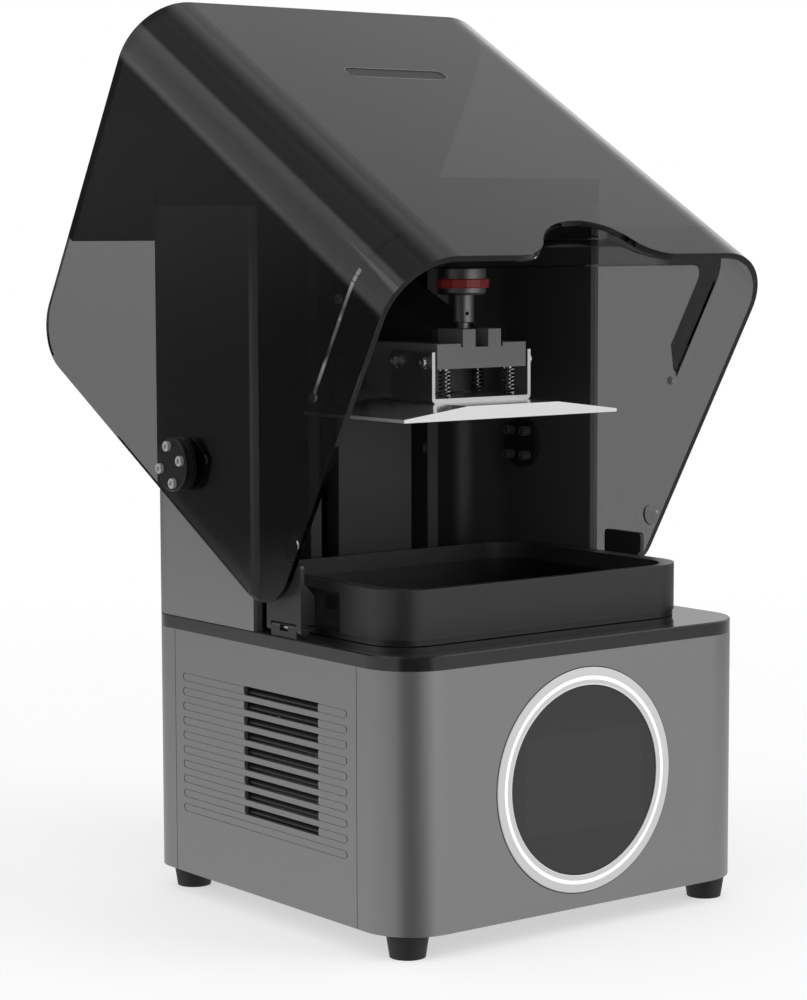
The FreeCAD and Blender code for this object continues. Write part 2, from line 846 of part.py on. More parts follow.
def build_side_panels():
    """Flat panels with engraved obrounds, all but the lowest cut through in their middle stretch."""
    body = new_body("LeftPanel")
    low = "front_seam + seam_gap"
    high = "rear_seam - seam_gap"
    sheet_sketch = outline(body, "PanelOutline", "YZ_Plane", "-half_width",
                           rectangle(low, "foot_height", high, "deck_bottom"))
    pad(body, sheet_sketch, "panel_wall")
    line = sketch_on(body, "LouvreLine", "YZ_Plane", "-half_width")
    add_obround(line, "louvre_shift", "louvre_z", "louvre_half", "louvre_end")
    add_obround(line, "louvre_shift", "louvre_z", "louvre_half", "louvre_end - louvre_line")
    groove = pocket(body, line, "louvre_depth", forward=True)
    low_y, high_y = "vent_shift - vent_length / 2", "vent_shift + vent_length / 2"
    repeated(body, [groove], line, "V_Axis", "louvre_pitch", "louvre_count", backwards=True)
    mouth = outline(body, "LouvreVent", "YZ_Plane", "-half_width", rectangle(
        low_y, "louvre_z - vent_height / 2", high_y, "louvre_z + vent_height / 2"))
    vent = pocket(body, mouth, "panel_wall", forward=True)
    repeated(body, [vent], mouth, "V_Axis", "louvre_pitch", "vent_count", backwards=True)
    subpart(body, "left_side_panel")
    subpart(mirrored("RightPanel", body), "right_side_panel")


def build_rear_panel():
    body = new_body("RearPanel")
    corners = cup_outline("rear_seam", "half_depth", "rear_radius", "panel_wall", 1)
    pad(body, outline(body, "RearOutline", "XY_Plane", "foot_height", corners), "base_height")
    openings = (
        ("RearInlet", "inlet_x", "outlet_level", "inlet_width", "inlet_height"),
        ("RearSwitch", "switch_x", "outlet_level", "switch_width", "switch_height"),
        ("RearPort", "port_x", "outlet_level", "port_width", "port_height"),
    )
    for name, x, z, width, height in openings:
        hole = outline(body, name, "XZ_Plane", "-half_depth", rectangle(
            "%s - %s / 2 - fit_gap" % (x, width), "%s - %s / 2 - fit_gap" % (z, height),
            "%s + %s / 2 + fit_gap" % (x, width), "%s + %s / 2 + fit_gap" % (z, height)))
        pocket(body, hole, "panel_wall", forward=True)
    first_x = "fan_x - grille_pitch * (grille_count - 1) / 2"
    slot = outline(body, "RearGrille", "XZ_Plane", "-half_depth", rectangle(
        "%s - grille_slot / 2" % first_x, "fan_level - fan_bore + grille_margin",
        "%s + grille_slot / 2" % first_x, "fan_level + fan_bore - grille_margin"))
    grille = pocket(body, slot, "panel_wall", forward=True)
    repeated(body, [grille], slot, "H_Axis", "grille_pitch", "grille_count")
    subpart(body, "rear_panel")


def build_feet():
    feet = []
    for side_x in ("-", "+"):
        for side_y in ("-", "+"):
            foot = doc.addObject("Part::Cone", "Foot")
            foot.setExpression("Radius1", bound("foot_bottom_radius"))
            foot.setExpression("Radius2", bound("foot_top_radius"))
            foot.setExpression("Height", bound("foot_height"))
            place(foot, "0 %s (half_width - foot_inset)" % side_x, "0 %s (half_depth - foot_inset)" % side_y)
            feet.append(foot)
    subpart(grouped("Feet", feet), "rubber_feet")


def build_deck():
    body = new_body("Deck")
    sketch = outline(body, "DeckOutline", "XY_Plane", "deck_bottom", base_outline("0"))
    slab = pad(body, sketch, "deck_thickness")
    doc.recompute()
    level = number("deck_top")
    rim = edges_where(slab, lambda edge, middle: abs(middle.z - level) < TINY)
    dressed(body, "Chamfer", slab, rim, "Size", "deck_chamfer")
    window = outline(body, "DeckWindow", "XY_Plane", "deck_top", rectangle(
        "-window_width / 2", "print_y - window_depth / 2", "window_width / 2", "print_y + window_depth / 2"))
    pocket(body, window, "deck_thickness")
    screw_hole = sketch_on(body, "DeckScrewHole", "XY_Plane", "deck_top")
    add_circle(screw_hole, "0", "screw_y", "coupler_radius + coupler_gap")
    pocket(body, screw_hole, "deck_thickness")
    subpart(body, "deck_plate")


# Round screen on the front

def face_front(body, depth):
    """Stand a turned body so that its axis points out of the front, from a depth."""
    return place(body, "0", depth, "screen_z", X_AXIS, 90.0)


def build_round_screen():
    bezel = new_body("Bezel")
    groove = "bezel_proud - light_depth"
    profile = [
        ("bezel_inner_radius", "-bezel_depth"),
        ("bezel_hole_radius - fit_gap", "-bezel_depth"),
        ("bezel_hole_radius - fit_gap", "0"),
        ("bezel_radius", "0"),
        ("bezel_radius", "bezel_proud - bezel_chamfer"),
        ("bezel_radius - bezel_chamfer", "bezel_proud"),
        ("light_outer_radius", "bezel_proud"),
        ("light_outer_radius", groove),
        ("light_inner_radius", groove),
        ("light_inner_radius", "bezel_proud"),
        ("bezel_inner_radius", "bezel_proud"),
    ]
    turned(bezel, outline(bezel, "BezelProfile", "XZ_Plane", "0", profile))
    subpart(face_front(bezel, "-half_depth"), "screen_bezel")

    ring = new_body("LightRing")
    turned(ring, outline(ring, "LightProfile", "XZ_Plane", "0", rectangle(
        "light_inner_radius + fit_gap / 2", groove,
        "light_outer_radius - fit_gap / 2", "bezel_proud - fit_gap / 2")))
    subpart(face_front(ring, "-half_depth"), "light_ring")

    glass = rod("Glass", ("0", "-half_depth - bezel_proud + glass_sunk", "screen_z"),
                "bezel_inner_radius - fit_gap", "glass_thickness", "y")
    subpart(glass, "touch_glass")
    module = box("Display",
                 ("-display_width / 2", "-half_depth - bezel_proud + glass_sunk + glass_thickness",
                  "screen_z - display_height / 2"),
                 ("display_width", "display_depth", "display_height"))
    subpart(module, "display_module")


# Screen panel, funnel and lamp under the vat

def build_light_engine():
    half_x = "window_width / 2 - fit_gap"
    half_y = "window_depth / 2 - fit_gap"
    gasket = new_body("Gasket")
    pad(gasket, outline(gasket, "GasketOutline", "XY_Plane", "lcd_bottom", rectangle(
        "-(%s)" % half_x, "print_y - (%s)" % half_y, half_x, "print_y + (%s)" % half_y)), "lcd_thickness")
    hole = outline(gasket, "GasketHole", "XY_Plane", "deck_top", rectangle(
        "gasket_width - (%s)" % half_x, "print_y + gasket_width - (%s)" % half_y,
        "%s - gasket_width" % half_x, "print_y + %s - gasket_width" % half_y))
    pocket(gasket, hole, "lcd_thickness")
    subpart(gasket, "lcd_gasket")

    inset = "gasket_width + 2 * fit_gap"
    panel = box("LcdPanel",
                ("%s - window_width / 2" % inset, "print_y + %s - window_depth / 2" % inset, "lcd_bottom"),
                ("window_width - 2 * (%s)" % inset, "window_depth - 2 * (%s)" % inset, "lcd_thickness"))
    subpart(panel, "lcd_screen")

    funnel = new_body("Funnel")

    def section(name, level, width, depth, wall):
        return outline(funnel, name, "XY_Plane", level, rectangle(
            "%s - %s / 2" % (wall, width), "print_y + %s - %s / 2" % (wall, depth),
            "%s / 2 - %s" % (width, wall), "print_y + %s / 2 - %s" % (depth, wall)))

    low = ("lamp_top", "lamp_width", "lamp_depth")
    high = ("lcd_bottom", "(window_width - 2 * fit_gap)", "(window_depth - 2 * fit_gap)")
    skin = funnel.newObject("PartDesign::AdditiveLoft", "FunnelSkin")
    skin.Profile = section("FunnelLow", *low, "0")
    skin.Sections = [section("FunnelHigh", *high, "0")]
    skin.Ruled = True
    hollow = funnel.newObject("PartDesign::SubtractiveLoft", "FunnelHollow")
    hollow.Profile = section("FunnelLowInside", *low, "funnel_wall")
    hollow.Sections = [section("FunnelHighInside", *high, "funnel_wall")]
    hollow.Ruled = True
    subpart(funnel, "light_funnel")

    board = box("LampPlate", ("-lamp_width / 2", "print_y - lamp_depth / 2", "lamp_bottom"),
                ("lamp_width", "lamp_depth", "lamp_thickness"))
    chips = [board]
    for column in range(int(number("led_columns"))):
        for row in range(int(number("led_rows"))):
            chips.append(box("Led", (
                "lamp_width * (%d + 0.5) / led_columns - lamp_width / 2 - led_size / 2" % column,
                "print_y + lamp_depth * (%d + 0.5) / led_rows - lamp_depth / 2 - led_size / 2" % row,
                "lamp_top"), ("led_size", "led_size", "led_height")))
    subpart(joined("LampBoard", chips), "lamp_board")

    fins = [box("SinkBase", ("-lamp_width / 2", "print_y - lamp_depth / 2", "lamp_bottom - sink_base"),
                ("lamp_width", "lamp_depth", "sink_base"))]
    for index in range(int(number("sink_fin_count"))):
        fins.append(box("SinkFin", (
            "(lamp_width - sink_fin) * %d / (sink_fin_count - 1) - lamp_width / 2" % index,
            "print_y - lamp_depth / 2", "pan_top"), ("sink_fin", "lamp_depth", "sink_height - sink_base")))
    subpart(joined("HeatSink", fins), "heat_sink")


# Fan and electrics

def build_fan():
    """A square frame with a round duct, four struts and a pin, and a bladed rotor that turns on the pin."""
    frame = new_body("FanFrame")
    half = "fan_size / 2"
    corners = rounded_box(half, "-(%s)" % half, half, "fan_corner", "fan_corner")
    pad(frame, outline(frame, "FanOutline", "XY_Plane", "0", corners), "fan_depth")
    duct = sketch_on(frame, "FanDuct", "XY_Plane", "fan_depth")
    add_circle(duct, "0", "0", "fan_bore")
    pocket(frame, duct, "fan_depth")
    strut = "fan_strut / 2"
    reach = "fan_bore + fan_strut_root"
    for name, wide, tall in (("FanStrutAcross", reach, strut), ("FanStrutUp", strut, reach)):
        bar = outline(frame, name, "XY_Plane", "0", rectangle("-(%s)" % wide, "-(%s)" % tall, wide, tall))
        pad(frame, bar, "fan_strut_depth")
    pin = sketch_on(frame, "FanPin", "XY_Plane", "fan_strut_depth")
    add_circle(pin, "0", "0", "fan_pin_radius")
    pad(frame, pin, "fan_depth - fan_strut_depth - fan_end_gap")
    place(frame, "fan_x", "inside_rear", "fan_level", X_AXIS, 90.0)
    subpart(frame, "fan_frame")

    rotor = new_body("FanRotor")
    hub = sketch_on(rotor, "RotorHub", "XY_Plane", "fan_strut_depth + fit_gap")
    add_circle(hub, "0", "0", "fan_hub")
    add_circle(hub, "0", "0", "fan_pin_radius + screw_fit")
    pad(rotor, hub, "fan_depth - fan_strut_depth - fan_end_gap")
    tip = "fan_bore - fan_tip_gap"
    low, high = "fan_strut_depth + fan_end_gap / 2", "fan_depth - fan_strut_depth"
    blade = outline(rotor, "RotorBlade", "YZ_Plane", "fan_hub - fan_blade_root", [
        ("-fan_lean", low), ("fan_blade - fan_lean", low),
        ("fan_lean", high), ("fan_lean - fan_blade", high)])
    vane = pad(rotor, blade, "sqrt((%s) ^ 2 - fan_lean ^ 2) - fan_hub + fan_blade_root" % tip)
    ring = rotor.newObject("PartDesign::PolarPattern", "RotorBlades")
    ring.Originals = [vane]
    ring.Axis = (hub, ["N_Axis"])
    ring.Angle = 360.0
    ring.setExpression("Occurrences", bound("fan_blade_count"))
    rotor.Tip = ring
    place(rotor, "fan_x", "inside_rear", "fan_level", X_AXIS, 90.0)
    subpart(rotor, "fan_rotor")


def build_electrics():
    build_main_board()
    build_supply()
    build_inlet()
    build_switch()
    low_x, low_z = "port_x - port_width / 2", "outlet_level - port_height / 2"
    port = box("PortShell", (low_x, "inside_rear - port_depth", low_z),
               ("port_width", "port_depth + panel_wall", "port_height"))
    mouth = box("PortMouth",
                (low_x + " + port_wall", "inside_rear - port_mouth_depth", low_z + " + port_wall"),
                ("port_width - 2 * port_wall", "port_mouth_depth + panel_wall",
                 "port_height - 2 * port_wall"))
    subpart(cut("DataPort", port, [mouth]), "data_port")


def build_main_board():
    """A board on four posts at the left panel, with a motor driver, a processor, a relay and a socket."""
    left = "-half_width + panel_wall"
    board_x = "%s + board_post" % left
    board_z = "pan_top + board_rise"
    pieces = [box("Board", (board_x, "-board_width / 2", board_z),
                  ("board_thickness", "board_width", "board_height"))]
    row_y = "chip_inset - board_width / 2"
    chips = (
        (row_y, "chip_row", "driver_height", "driver_length", "driver_width"),
        (row_y, "3 * chip_row", "relay_height", "relay_size", "relay_size"),
        ("board_post_inset", "board_height - 2 * chip_row", "processor_height", "processor_size",
         "processor_size"),
        ("board_post_inset", "chip_row / 2", "socket_height", "socket_length", "socket_width"),
    )
    for y, z, thick, wide, tall in chips:
        corner = (board_x + " + board_thickness", y, "%s + %s" % (board_z, z))
        pieces.append(box("Chip", corner, (thick, wide, tall)))
    for y in ("board_post_inset - board_width / 2", "board_width / 2 - board_post_inset"):
        for z in ("board_post_inset", "board_height - board_post_inset"):
            start = (left, y, "%s + %s" % (board_z, z))
            pieces.append(rod("BoardPost", start, "board_post_radius", "board_post", "x"))
    subpart(joined("MainBoard", pieces), "main_board")


def build_supply():
    """A boxed power supply with slots in the side that faces the middle."""
    corner_x = "half_width - panel_wall - supply_gap - supply_width"
    case = box("SupplyCase", (corner_x, "-supply_depth / 2", "pan_top"),
               ("supply_width", "supply_depth", "supply_height"))
    slots = [box("SupplySlot", (corner_x, "supply_slot_pitch * %d - supply_slot / 2" % step,
                                "pan_top + supply_slot_margin"),
                 ("supply_slot_depth", "supply_slot", "supply_height - 2 * supply_slot_margin"))
             for step in range(-3, 4)]
    subpart(cut("PowerSupply", case, slots), "power_supply")


def build_inlet():
    """A mains inlet: a flanged shroud with three blades in its mouth."""
    low_x, low_z = "inlet_x - inlet_width / 2", "outlet_level - inlet_height / 2"
    back = "half_depth - inlet_depth"
    body = box("InletBody", (low_x, back, low_z), ("inlet_width", "inlet_depth", "inlet_height"))
    flange = box("InletFlange", (low_x + " - inlet_flange", "half_depth", low_z + " - inlet_flange"),
                 ("inlet_width + 2 * inlet_flange", "inlet_lip", "inlet_height + 2 * inlet_flange"))
    mouth = box("InletMouth", (low_x + " + inlet_wall", back + " + inlet_floor", low_z + " + inlet_wall"),
                ("inlet_width - 2 * inlet_wall", "inlet_depth", "inlet_height - 2 * inlet_wall"))
    shroud = cut("InletShroud", joined("InletBlock", [body, flange]), [mouth])
    blades = []
    for x, z in (("-blade_spread", "blade_rise"), ("blade_spread", "blade_rise"), ("0", "-blade_drop")):
        corner = ("inlet_x + %s - blade_width / 2" % x, back + " + inlet_floor - blade_root",
                  "outlet_level + %s - blade_height / 2" % z)
        blades.append(box("InletBlade", corner, ("blade_width", "inlet_depth - inlet_floor - blade_root",
                                                 "blade_height")))
    subpart(joined("MainsInlet", [shroud] + blades), "mains_inlet")


def build_switch():
    """A rocker between two cheeks; its pin lies across the opening."""
    half_x, half_z = "switch_width / 2", "switch_height / 2"
    low_x, low_z = "switch_x - " + half_x, "outlet_level - " + half_z
    axis_y = "half_depth - switch_axis_depth"
    block = box("SwitchBlock", (low_x, "half_depth - switch_depth", low_z),
                ("switch_width", "switch_depth", "switch_height"))
    flange = box("SwitchFlange", (low_x + " - switch_flange", "half_depth", low_z + " - switch_flange"),
                 ("switch_width + 2 * switch_flange", "switch_lip", "switch_height + 2 * switch_flange"))
    mouth = box("SwitchMouth",
                (low_x + " + switch_wall", "half_depth - switch_hollow", low_z + " + switch_wall"),
                ("switch_width - 2 * switch_wall", "switch_depth", "switch_height - 2 * switch_wall"))
    shell = cut("SwitchShell", joined("SwitchSolid", [block, flange]), [mouth])
    pin = rod("SwitchPin", (low_x, axis_y, "outlet_level"), "switch_pin_radius", "switch_width", "x")
    subpart(joined("SwitchFrame", [shell, pin]), "switch_frame")

    rocker = new_body("Rocker")
    tall = "%s - switch_wall - rocker_end_gap" % half_z
    wide = "%s - switch_wall - rocker_side_gap" % half_x
    crest = "switch_proud + switch_axis_depth"
    profile = [("-rocker_depth", "-(%s)" % tall), (crest, "-(%s)" % tall), ("switch_axis_depth", "0"),
               (crest, tall), ("-rocker_depth", tall)]
    pad(rocker, outline(rocker, "RockerProfile", "YZ_Plane", "-(%s)" % wide, profile), "2 * (%s)" % wide)
    bore = sketch_on(rocker, "RockerBore", "YZ_Plane", half_x)
    add_circle(bore, "0", "0", "switch_pin_radius + screw_fit")
    pocket(rocker, bore, "switch_width")
    place(rocker, "switch_x", axis_y, "outlet_level", X_AXIS, 1.0)
    rocker.setExpression("Placement.Rotation.Angle", bound("switch_tilt_angle"))
    subpart(rocker, "switch_rocker")


# Column and lift guides

def bore_for_pins(body, name):
    """A bore through both sides of the column on the hinge axis."""
    bores = sketch_on(body, name, "YZ_Plane", "half_width")
    add_circle(bores, "hinge_y", "hinge_z", "pin_radius")
    pocket(body, bores, "base_width")


def build_column():
    """A thin outer shell, a cap, and a liner that carries the channel for the lift."""
    shell = new_body("ColumnShell")
    corners = cup_outline("column_front", "half_depth", "rear_radius", "column_skin", 1)
    pad(shell, outline(shell, "ColumnOutline", "XY_Plane", "deck_top", corners), "column_height")
    bore_for_pins(shell, "ColumnPinBore")
    subpart(shell, "column_shell")

    cap = new_body("ColumnCap")
    pad(cap, outline(cap, "CapOutline", "XY_Plane", "column_top", rounded_box(
        "half_width", "column_front", "half_depth", "cap_corner", "rear_radius")), "column_cap")
    hollow = outline(cap, "CapHollow", "XY_Plane", "column_top", rounded_box(
        "column_inside", "column_front + column_wall", "column_back", "cap_corner",
        "rear_radius - column_wall"))
    pocket(cap, hollow, "column_cap - cap_skin", forward=True)
    subpart(cap, "column_top_cap")

    cover = new_body("ChannelCover")
    half = "channel_width / 2"
    inner = "channel_width / 2 - channel_sheet"
    side = "half_width - liner_inset"
    back = "half_depth - liner_inset"
    round_back = "rear_radius - liner_inset"
    pad(cover, outline(cover, "LinerOutline", "XY_Plane", "deck_top", [
        ("-(%s)" % side, "column_front"), ("-column_inside", "column_front"),
        ("-column_inside", "column_back", "liner_radius"),
        ("-(%s)" % half, "column_back"), ("-(%s)" % half, "channel_front"), (half, "channel_front"),
        (half, "column_back"), ("column_inside", "column_back", "liner_radius"),
        ("column_inside", "column_front"), (side, "column_front"), (side, back, round_back),
        ("-(%s)" % side, back, round_back)]), "column_height")
    channel = outline(cover, "ChannelRoom", "XY_Plane", "column_top", rectangle(
        "-(%s)" % inner, "channel_front + channel_sheet", inner, "column_back"))
    pocket(cover, channel, "column_height")
    bore_for_pins(cover, "LinerPinBore")
    for name, low, high in (("CoverSlotLeft", "-slot_outer", "-slot_inner"),
                            ("CoverSlotRight", "slot_inner", "slot_outer")):
        slot = outline(cover, name, "XZ_Plane", "-channel_front", rectangle(
            low, "deck_top + slot_foot", high, "column_top - slot_foot"))
        pocket(cover, slot, "channel_sheet")
    subpart(cover, "channel_cover")


def build_lift_guides():
    plate = box("BackPlate", ("-back_plate_width / 2", "back_plate_y", "deck_top"),
                ("back_plate_width", "back_plate", "column_height"))
    subpart(plate, "back_plate")
    rails = [box("Rail", ("%s - rail_width / 2" % x, "rail_y", "deck_top + rail_end"),
                 ("rail_width", "rail_depth", "column_height - 2 * rail_end - bearing_height"))
             for x in ("-rail_x", "rail_x")]
    subpart(grouped("Rails", rails), "lift_rails")

    motor = new_body("LiftMotor")
    half = "motor_size / 2"
    flat = "motor_size / 2 - motor_chamfer"
    pad(motor, outline(motor, "MotorOutline", "XY_Plane", "deck_bottom - motor_height", [
        ("-(%s)" % flat, "screw_y - %s" % half), (flat, "screw_y - %s" % half),
        (half, "screw_y - (%s)" % flat), (half, "screw_y + %s" % flat),
        (flat, "screw_y + %s" % half), ("-(%s)" % flat, "screw_y + %s" % half),
        ("-(%s)" % half, "screw_y + %s" % flat), ("-(%s)" % half, "screw_y - (%s)" % flat)]), "motor_height")
    boss = sketch_on(motor, "MotorBoss", "XY_Plane", "deck_bottom")
    add_circle(boss, "0", "screw_y", "coupler_radius")
    pad(motor, boss, "motor_boss")
    bearing = sketch_on(motor, "MotorBearing", "XY_Plane", "motor_top")
    add_circle(bearing, "0", "screw_y", "shaft_radius + screw_fit")
    pocket(motor, bearing, "motor_boss + shaft_length")
    subpart(motor, "lift_motor")

    shaft = rod("ShaftBar", ("0", "screw_y", "deck_bottom - shaft_length + shaft_end_gap"), "shaft_radius",
                "screw_bottom - deck_bottom + shaft_length - shaft_end_gap")
    subpart(shaft, "motor_shaft")
    screw = rod("ScrewBar", ("0", "screw_y", "screw_bottom"), "screw_radius",
                "column_top - screw_bottom - screw_end_gap")
    subpart(screw, "lead_screw")
    sleeve = rod("CouplerSleeve", ("0", "screw_y", "coupler_bottom"), "coupler_radius", "coupler_height")
    bores = [rod("CouplerLowBore", ("0", "screw_y", "coupler_bottom"), "shaft_radius", "coupler_height"),
             rod("CouplerHighBore", ("0", "screw_y", "screw_bottom"), "screw_radius", "coupler_height")]
    subpart(cut("Coupler", sleeve, bores), "screw_coupler")

    holder = box("BearingHolder", ("-bearing_width / 2", "screw_y - bearing_front", "bearing_bottom"),
                 ("bearing_width", "back_plate_y - screw_y + bearing_front", "bearing_height"))
    seat = rod("BearingSeat", ("0", "screw_y", "bearing_bottom"), "screw_radius + screw_fit",
               "bearing_height")
    subpart(cut("TopBearing", holder, [seat]), "top_bearing")


def build_carriage():
    """A plate on two rail blocks, with a lug that holds the nut on the screw."""
    level = "head_top - carriage_drop"
    plate = box("CarriagePlate", ("-carriage_width / 2", "carriage_y", level),
                ("carriage_width", "carriage_plate", "carriage_height"))
    lug = box("CarriageLug", ("-lug_width / 2", "carriage_y + carriage_plate", level),
              ("lug_width", "back_plate_y - carriage_y - carriage_plate - lug_gap", "nut_length"))
    bore = rod("CarriageBore", ("0", "screw_y", level), "nut_radius", "carriage_height")
    subpart(cut("Carriage", joined("CarriageBlock", [plate, lug]), [bore]), "carriage")

    nut = rod("NutBody", ("0", "screw_y", level), "nut_radius", "nut_length")
    thread = rod("NutThread", ("0", "screw_y", level), "screw_radius + screw_fit", "nut_length")
    subpart(cut("LeadNut", nut, [thread]), "lead_nut")

    blocks = []
    for x in ("-rail_x", "rail_x"):
        foot = level + " + block_rise"
        block = box("BlockBody", ("%s - block_width / 2" % x, "carriage_y + carriage_plate", foot),
                    ("block_width", "back_plate_y - carriage_y - carriage_plate - block_gap", "block_height"))
        groove = box("BlockGroove", ("%s - rail_width / 2 - rail_gap" % x, "rail_y - rail_gap", foot),
                     ("rail_width + 2 * rail_gap", "rail_depth + rail_gap", "block_height"))
        blocks.append(cut("RailBlock", block, [groove]))
    subpart(grouped("RailBlocks", blocks), "rail_blocks")


# Arm, head, springs and build plate

def build_arm():
    """A sloping gusset over the head, a tee that the head slides on, and legs through the channel's slots."""
    body = new_body("Arm")
    gusset = outline(body, "ArmGusset", "YZ_Plane", "-arm_half_width", [
        ("arm_front", "head_top + slide_gap"), ("arm_cross", "head_top + slide_gap"),
        ("arm_cross", "arm_bottom"), ("arm_rear", "arm_bottom"), ("arm_rear", "arm_top"),
        ("arm_front", "nose_top")])
    pad(body, gusset, "2 * arm_half_width")
    cross = outline(body, "ArmCross", "YZ_Plane", "-leg_outer", rectangle(
        "arm_cross + arm_cross_step", "arm_bottom", "arm_rear", "arm_bottom + arm_cross_height"))
    pad(body, cross, "2 * leg_outer")
    for name, low in (("ArmLegLeft", "-leg_outer"), ("ArmLegRight", "leg_inner")):
        leg = outline(body, name, "YZ_Plane", low, rectangle(
            "arm_rear - arm_root", "arm_bottom", "carriage_y", "arm_bottom + arm_cross_height"))
        pad(body, leg, "leg_width")
    tongue_half = "upstand_inner - slide_gap"
    tongue = outline(body, "ArmTongue", "YZ_Plane", "-(%s)" % tongue_half, rectangle(
        "tongue_front", "head_top + slide_gap", "arm_front + arm_root", "nose_top"))
    pad(body, tongue, "2 * (%s)" % tongue_half)
    web = outline(body, "ArmTee", "XZ_Plane", "-tee_front", [
        ("-tee_web", "head_top + slide_gap + arm_root"), ("-tee_web", "tee_bottom + tee_height"),
        ("-tee_width", "tee_bottom + tee_height"), ("-tee_width", "tee_bottom"), ("tee_width", "tee_bottom"),
        ("tee_width", "tee_bottom + tee_height"), ("tee_web", "tee_bottom + tee_height"),
        ("tee_web", "head_top + slide_gap + arm_root")])
    pad(body, web, "skirt_y - tee_front - tee_end_gap").Reversed = True
    hole = sketch_on(body, "ArmKnobHole", "XY_Plane", "arm_top")
    add_circle(hole, "0", "print_y", "tip_radius + screw_fit")
    pocket(body, hole, "arm_top - tee_bottom + arm_root")
    subpart(body, "lift_arm")


SIDE_SCREWS = ("print_y - front_screw_y", "print_y + rear_screw_y")


def build_head():
    """A block that slides on the arm's tee: springs sit under its front, and a skirt hangs behind them."""
    body = new_body("Head")
    half = "head_width / 2"
    back = "skirt_y + skirt_depth"
    side = outline(body, "HeadSide", "YZ_Plane", "-(%s)" % half, [
        ("head_y", "head_bottom"), ("skirt_y", "head_bottom"), ("skirt_y", "plate_top + skirt_gap"),
        (back, "plate_top + skirt_gap"), (back, "head_top"), ("head_y", "head_top")])
    pad(body, side, "head_width")
    for name, low, high in (("UpstandLeft", "-upstand_outer", "-upstand_inner"),
                            ("UpstandRight", "upstand_inner", "upstand_outer")):
        post = outline(body, name, "XY_Plane", "head_top",
                       rectangle(low, "head_y", high, "head_y + upstand_depth"))
        pad(body, post, "upstand_height")
    web = "tee_web + slot_clear"
    wide = "tee_width + slide_gap"
    lips = "tee_bottom + tee_height + slide_gap"
    slot = outline(body, "HeadSlot", "XZ_Plane", "2 * slide_gap - tee_front", [
        ("-(%s)" % web, "head_top"), ("-(%s)" % web, lips), ("-(%s)" % wide, lips),
        ("-(%s)" % wide, "tee_bottom - slide_gap"), (wide, "tee_bottom - slide_gap"), (wide, lips),
        (web, lips), (web, "head_top")])
    pocket(body, slot, "head_width * 2")
    cuts = (("HeadNotch", "-upstand_inner", "upstand_inner", "tee_front - head_y"),
            ("HeadReliefLeft", "-upstand_outer - relief_width", "-upstand_outer", "upstand_depth"),
            ("HeadReliefRight", "upstand_outer", "upstand_outer + relief_width", "upstand_depth"))
    for name, low, high, depth in cuts:
        groove = outline(body, name, "XZ_Plane", "-head_y", rectangle(
            low, "head_top - notch_depth", high, "head_top"))
        pocket(body, groove, depth)
    subpart(body, "head_block")

    screws = []
    face = "bracket_width / 2 + side_screw_seat"
    for way in (-1, 1):
        for y in SIDE_SCREWS:
            cap = outward_rod("FloatScrewCap", way, face, y, "screw_level", "side_screw_head",
                              "side_screw_height")
            shank = outward_rod("FloatScrewShank", way, half, y, "screw_level", "side_screw_radius",
                                "%s - (%s)" % (face, half))
            screws.append(joined("FloatScrew", [cap, shank]))
    subpart(grouped("SideScrews", screws), "side_screws")


POINTS_PER_TURN = 24


def biarc(start, start_way, end, end_way):
    """Two arcs that leave one point and reach another along given directions."""
    across = end - start
    both = start_way + end_way
    spread = 2.0 * (1.0 - start_way.dot(end_way))
    lean = across.dot(both)
    step = (math.sqrt(lean ** 2 + spread * across.dot(across)) - lean) / spread
    meeting = (start + start_way * step + end - end_way * step) * 0.5
    return [arc_from(start, start_way, meeting), arc_from(end, end_way * -1.0, meeting)]


def arc_from(start, way, end):
    """The arc that leaves a point along a direction and ends at another point."""
    chord = end - start
    along = Vector(chord).normalize()
    rise = way - along * way.dot(along)
    half_turn = math.acos(max(-1.0, min(1.0, way.dot(along)))) / 2.0
    crown = (start + end) * 0.5 + rise.normalize() * (chord.Length / 2.0 * math.tan(half_turn))
    return Part.Arc(start, crown, end).toShape()


def spring_solid(radius, wire, turns, height):
    """One unbroken coil of wire on biarcs of a quarter turn, from its foot at the origin."""
    steps = int(turns) * 4
    rise = (height - wire) / steps

    def spot(step):
        angle = math.pi / 2.0 * step
        return Vector(radius * math.cos(angle), radius * math.sin(angle), wire / 2.0 + rise * step)

    def way(step):
        angle = math.pi / 2.0 * step
        return Vector(-math.sin(angle), math.cos(angle), rise / (radius * math.pi / 2.0)).normalize()

    edges = []
    for step in range(steps):
        first, second = biarc(spot(step), way(step), spot(step + 1), way(step + 1))
        edges += [first, second]
    path = Part.Wire(Part.__sortEdges__(edges))
    ring = Part.Wire([Part.Circle(spot(0), way(0), wire / 2.0).toShape()])
    return path.makePipeShell([ring], True, False), path


def spring_gap_to_itself(path, wire, turns):
    """The least gap between neighbouring turns, measured on points along the wire."""
    points = path.discretize(int(turns) * POINTS_PER_TURN + 1)
    apart = POINTS_PER_TURN * 2 // 3
    gaps = [(far - near).Length for index, near in enumerate(points) for far in points[index + apart:]]
    return min(gaps) - wire


def build_springs():
    radius, wire, turns = number("spring_radius"), number("spring_wire"), number("spring_turns")
    height = number("spring_gap - 2 * spring_seat")
    coil, path = spring_solid(radius, wire, turns, height)
    print("spring gap to itself: %.2f mm" % spring_gap_to_itself(path, wire, turns))
    springs = []
    for side in ("-", "+"):
        for y in ("print_y + spring_shift - spring_y", "print_y + spring_shift + spring_y"):
            spring = doc.addObject("Part::Feature", "Spring")
            spring.Shape = coil
            springs.append(place(spring, "0 %s spring_x" % side, y, "floor_top + spring_seat"))
    subpart(grouped("Springs", springs), "plate_springs")


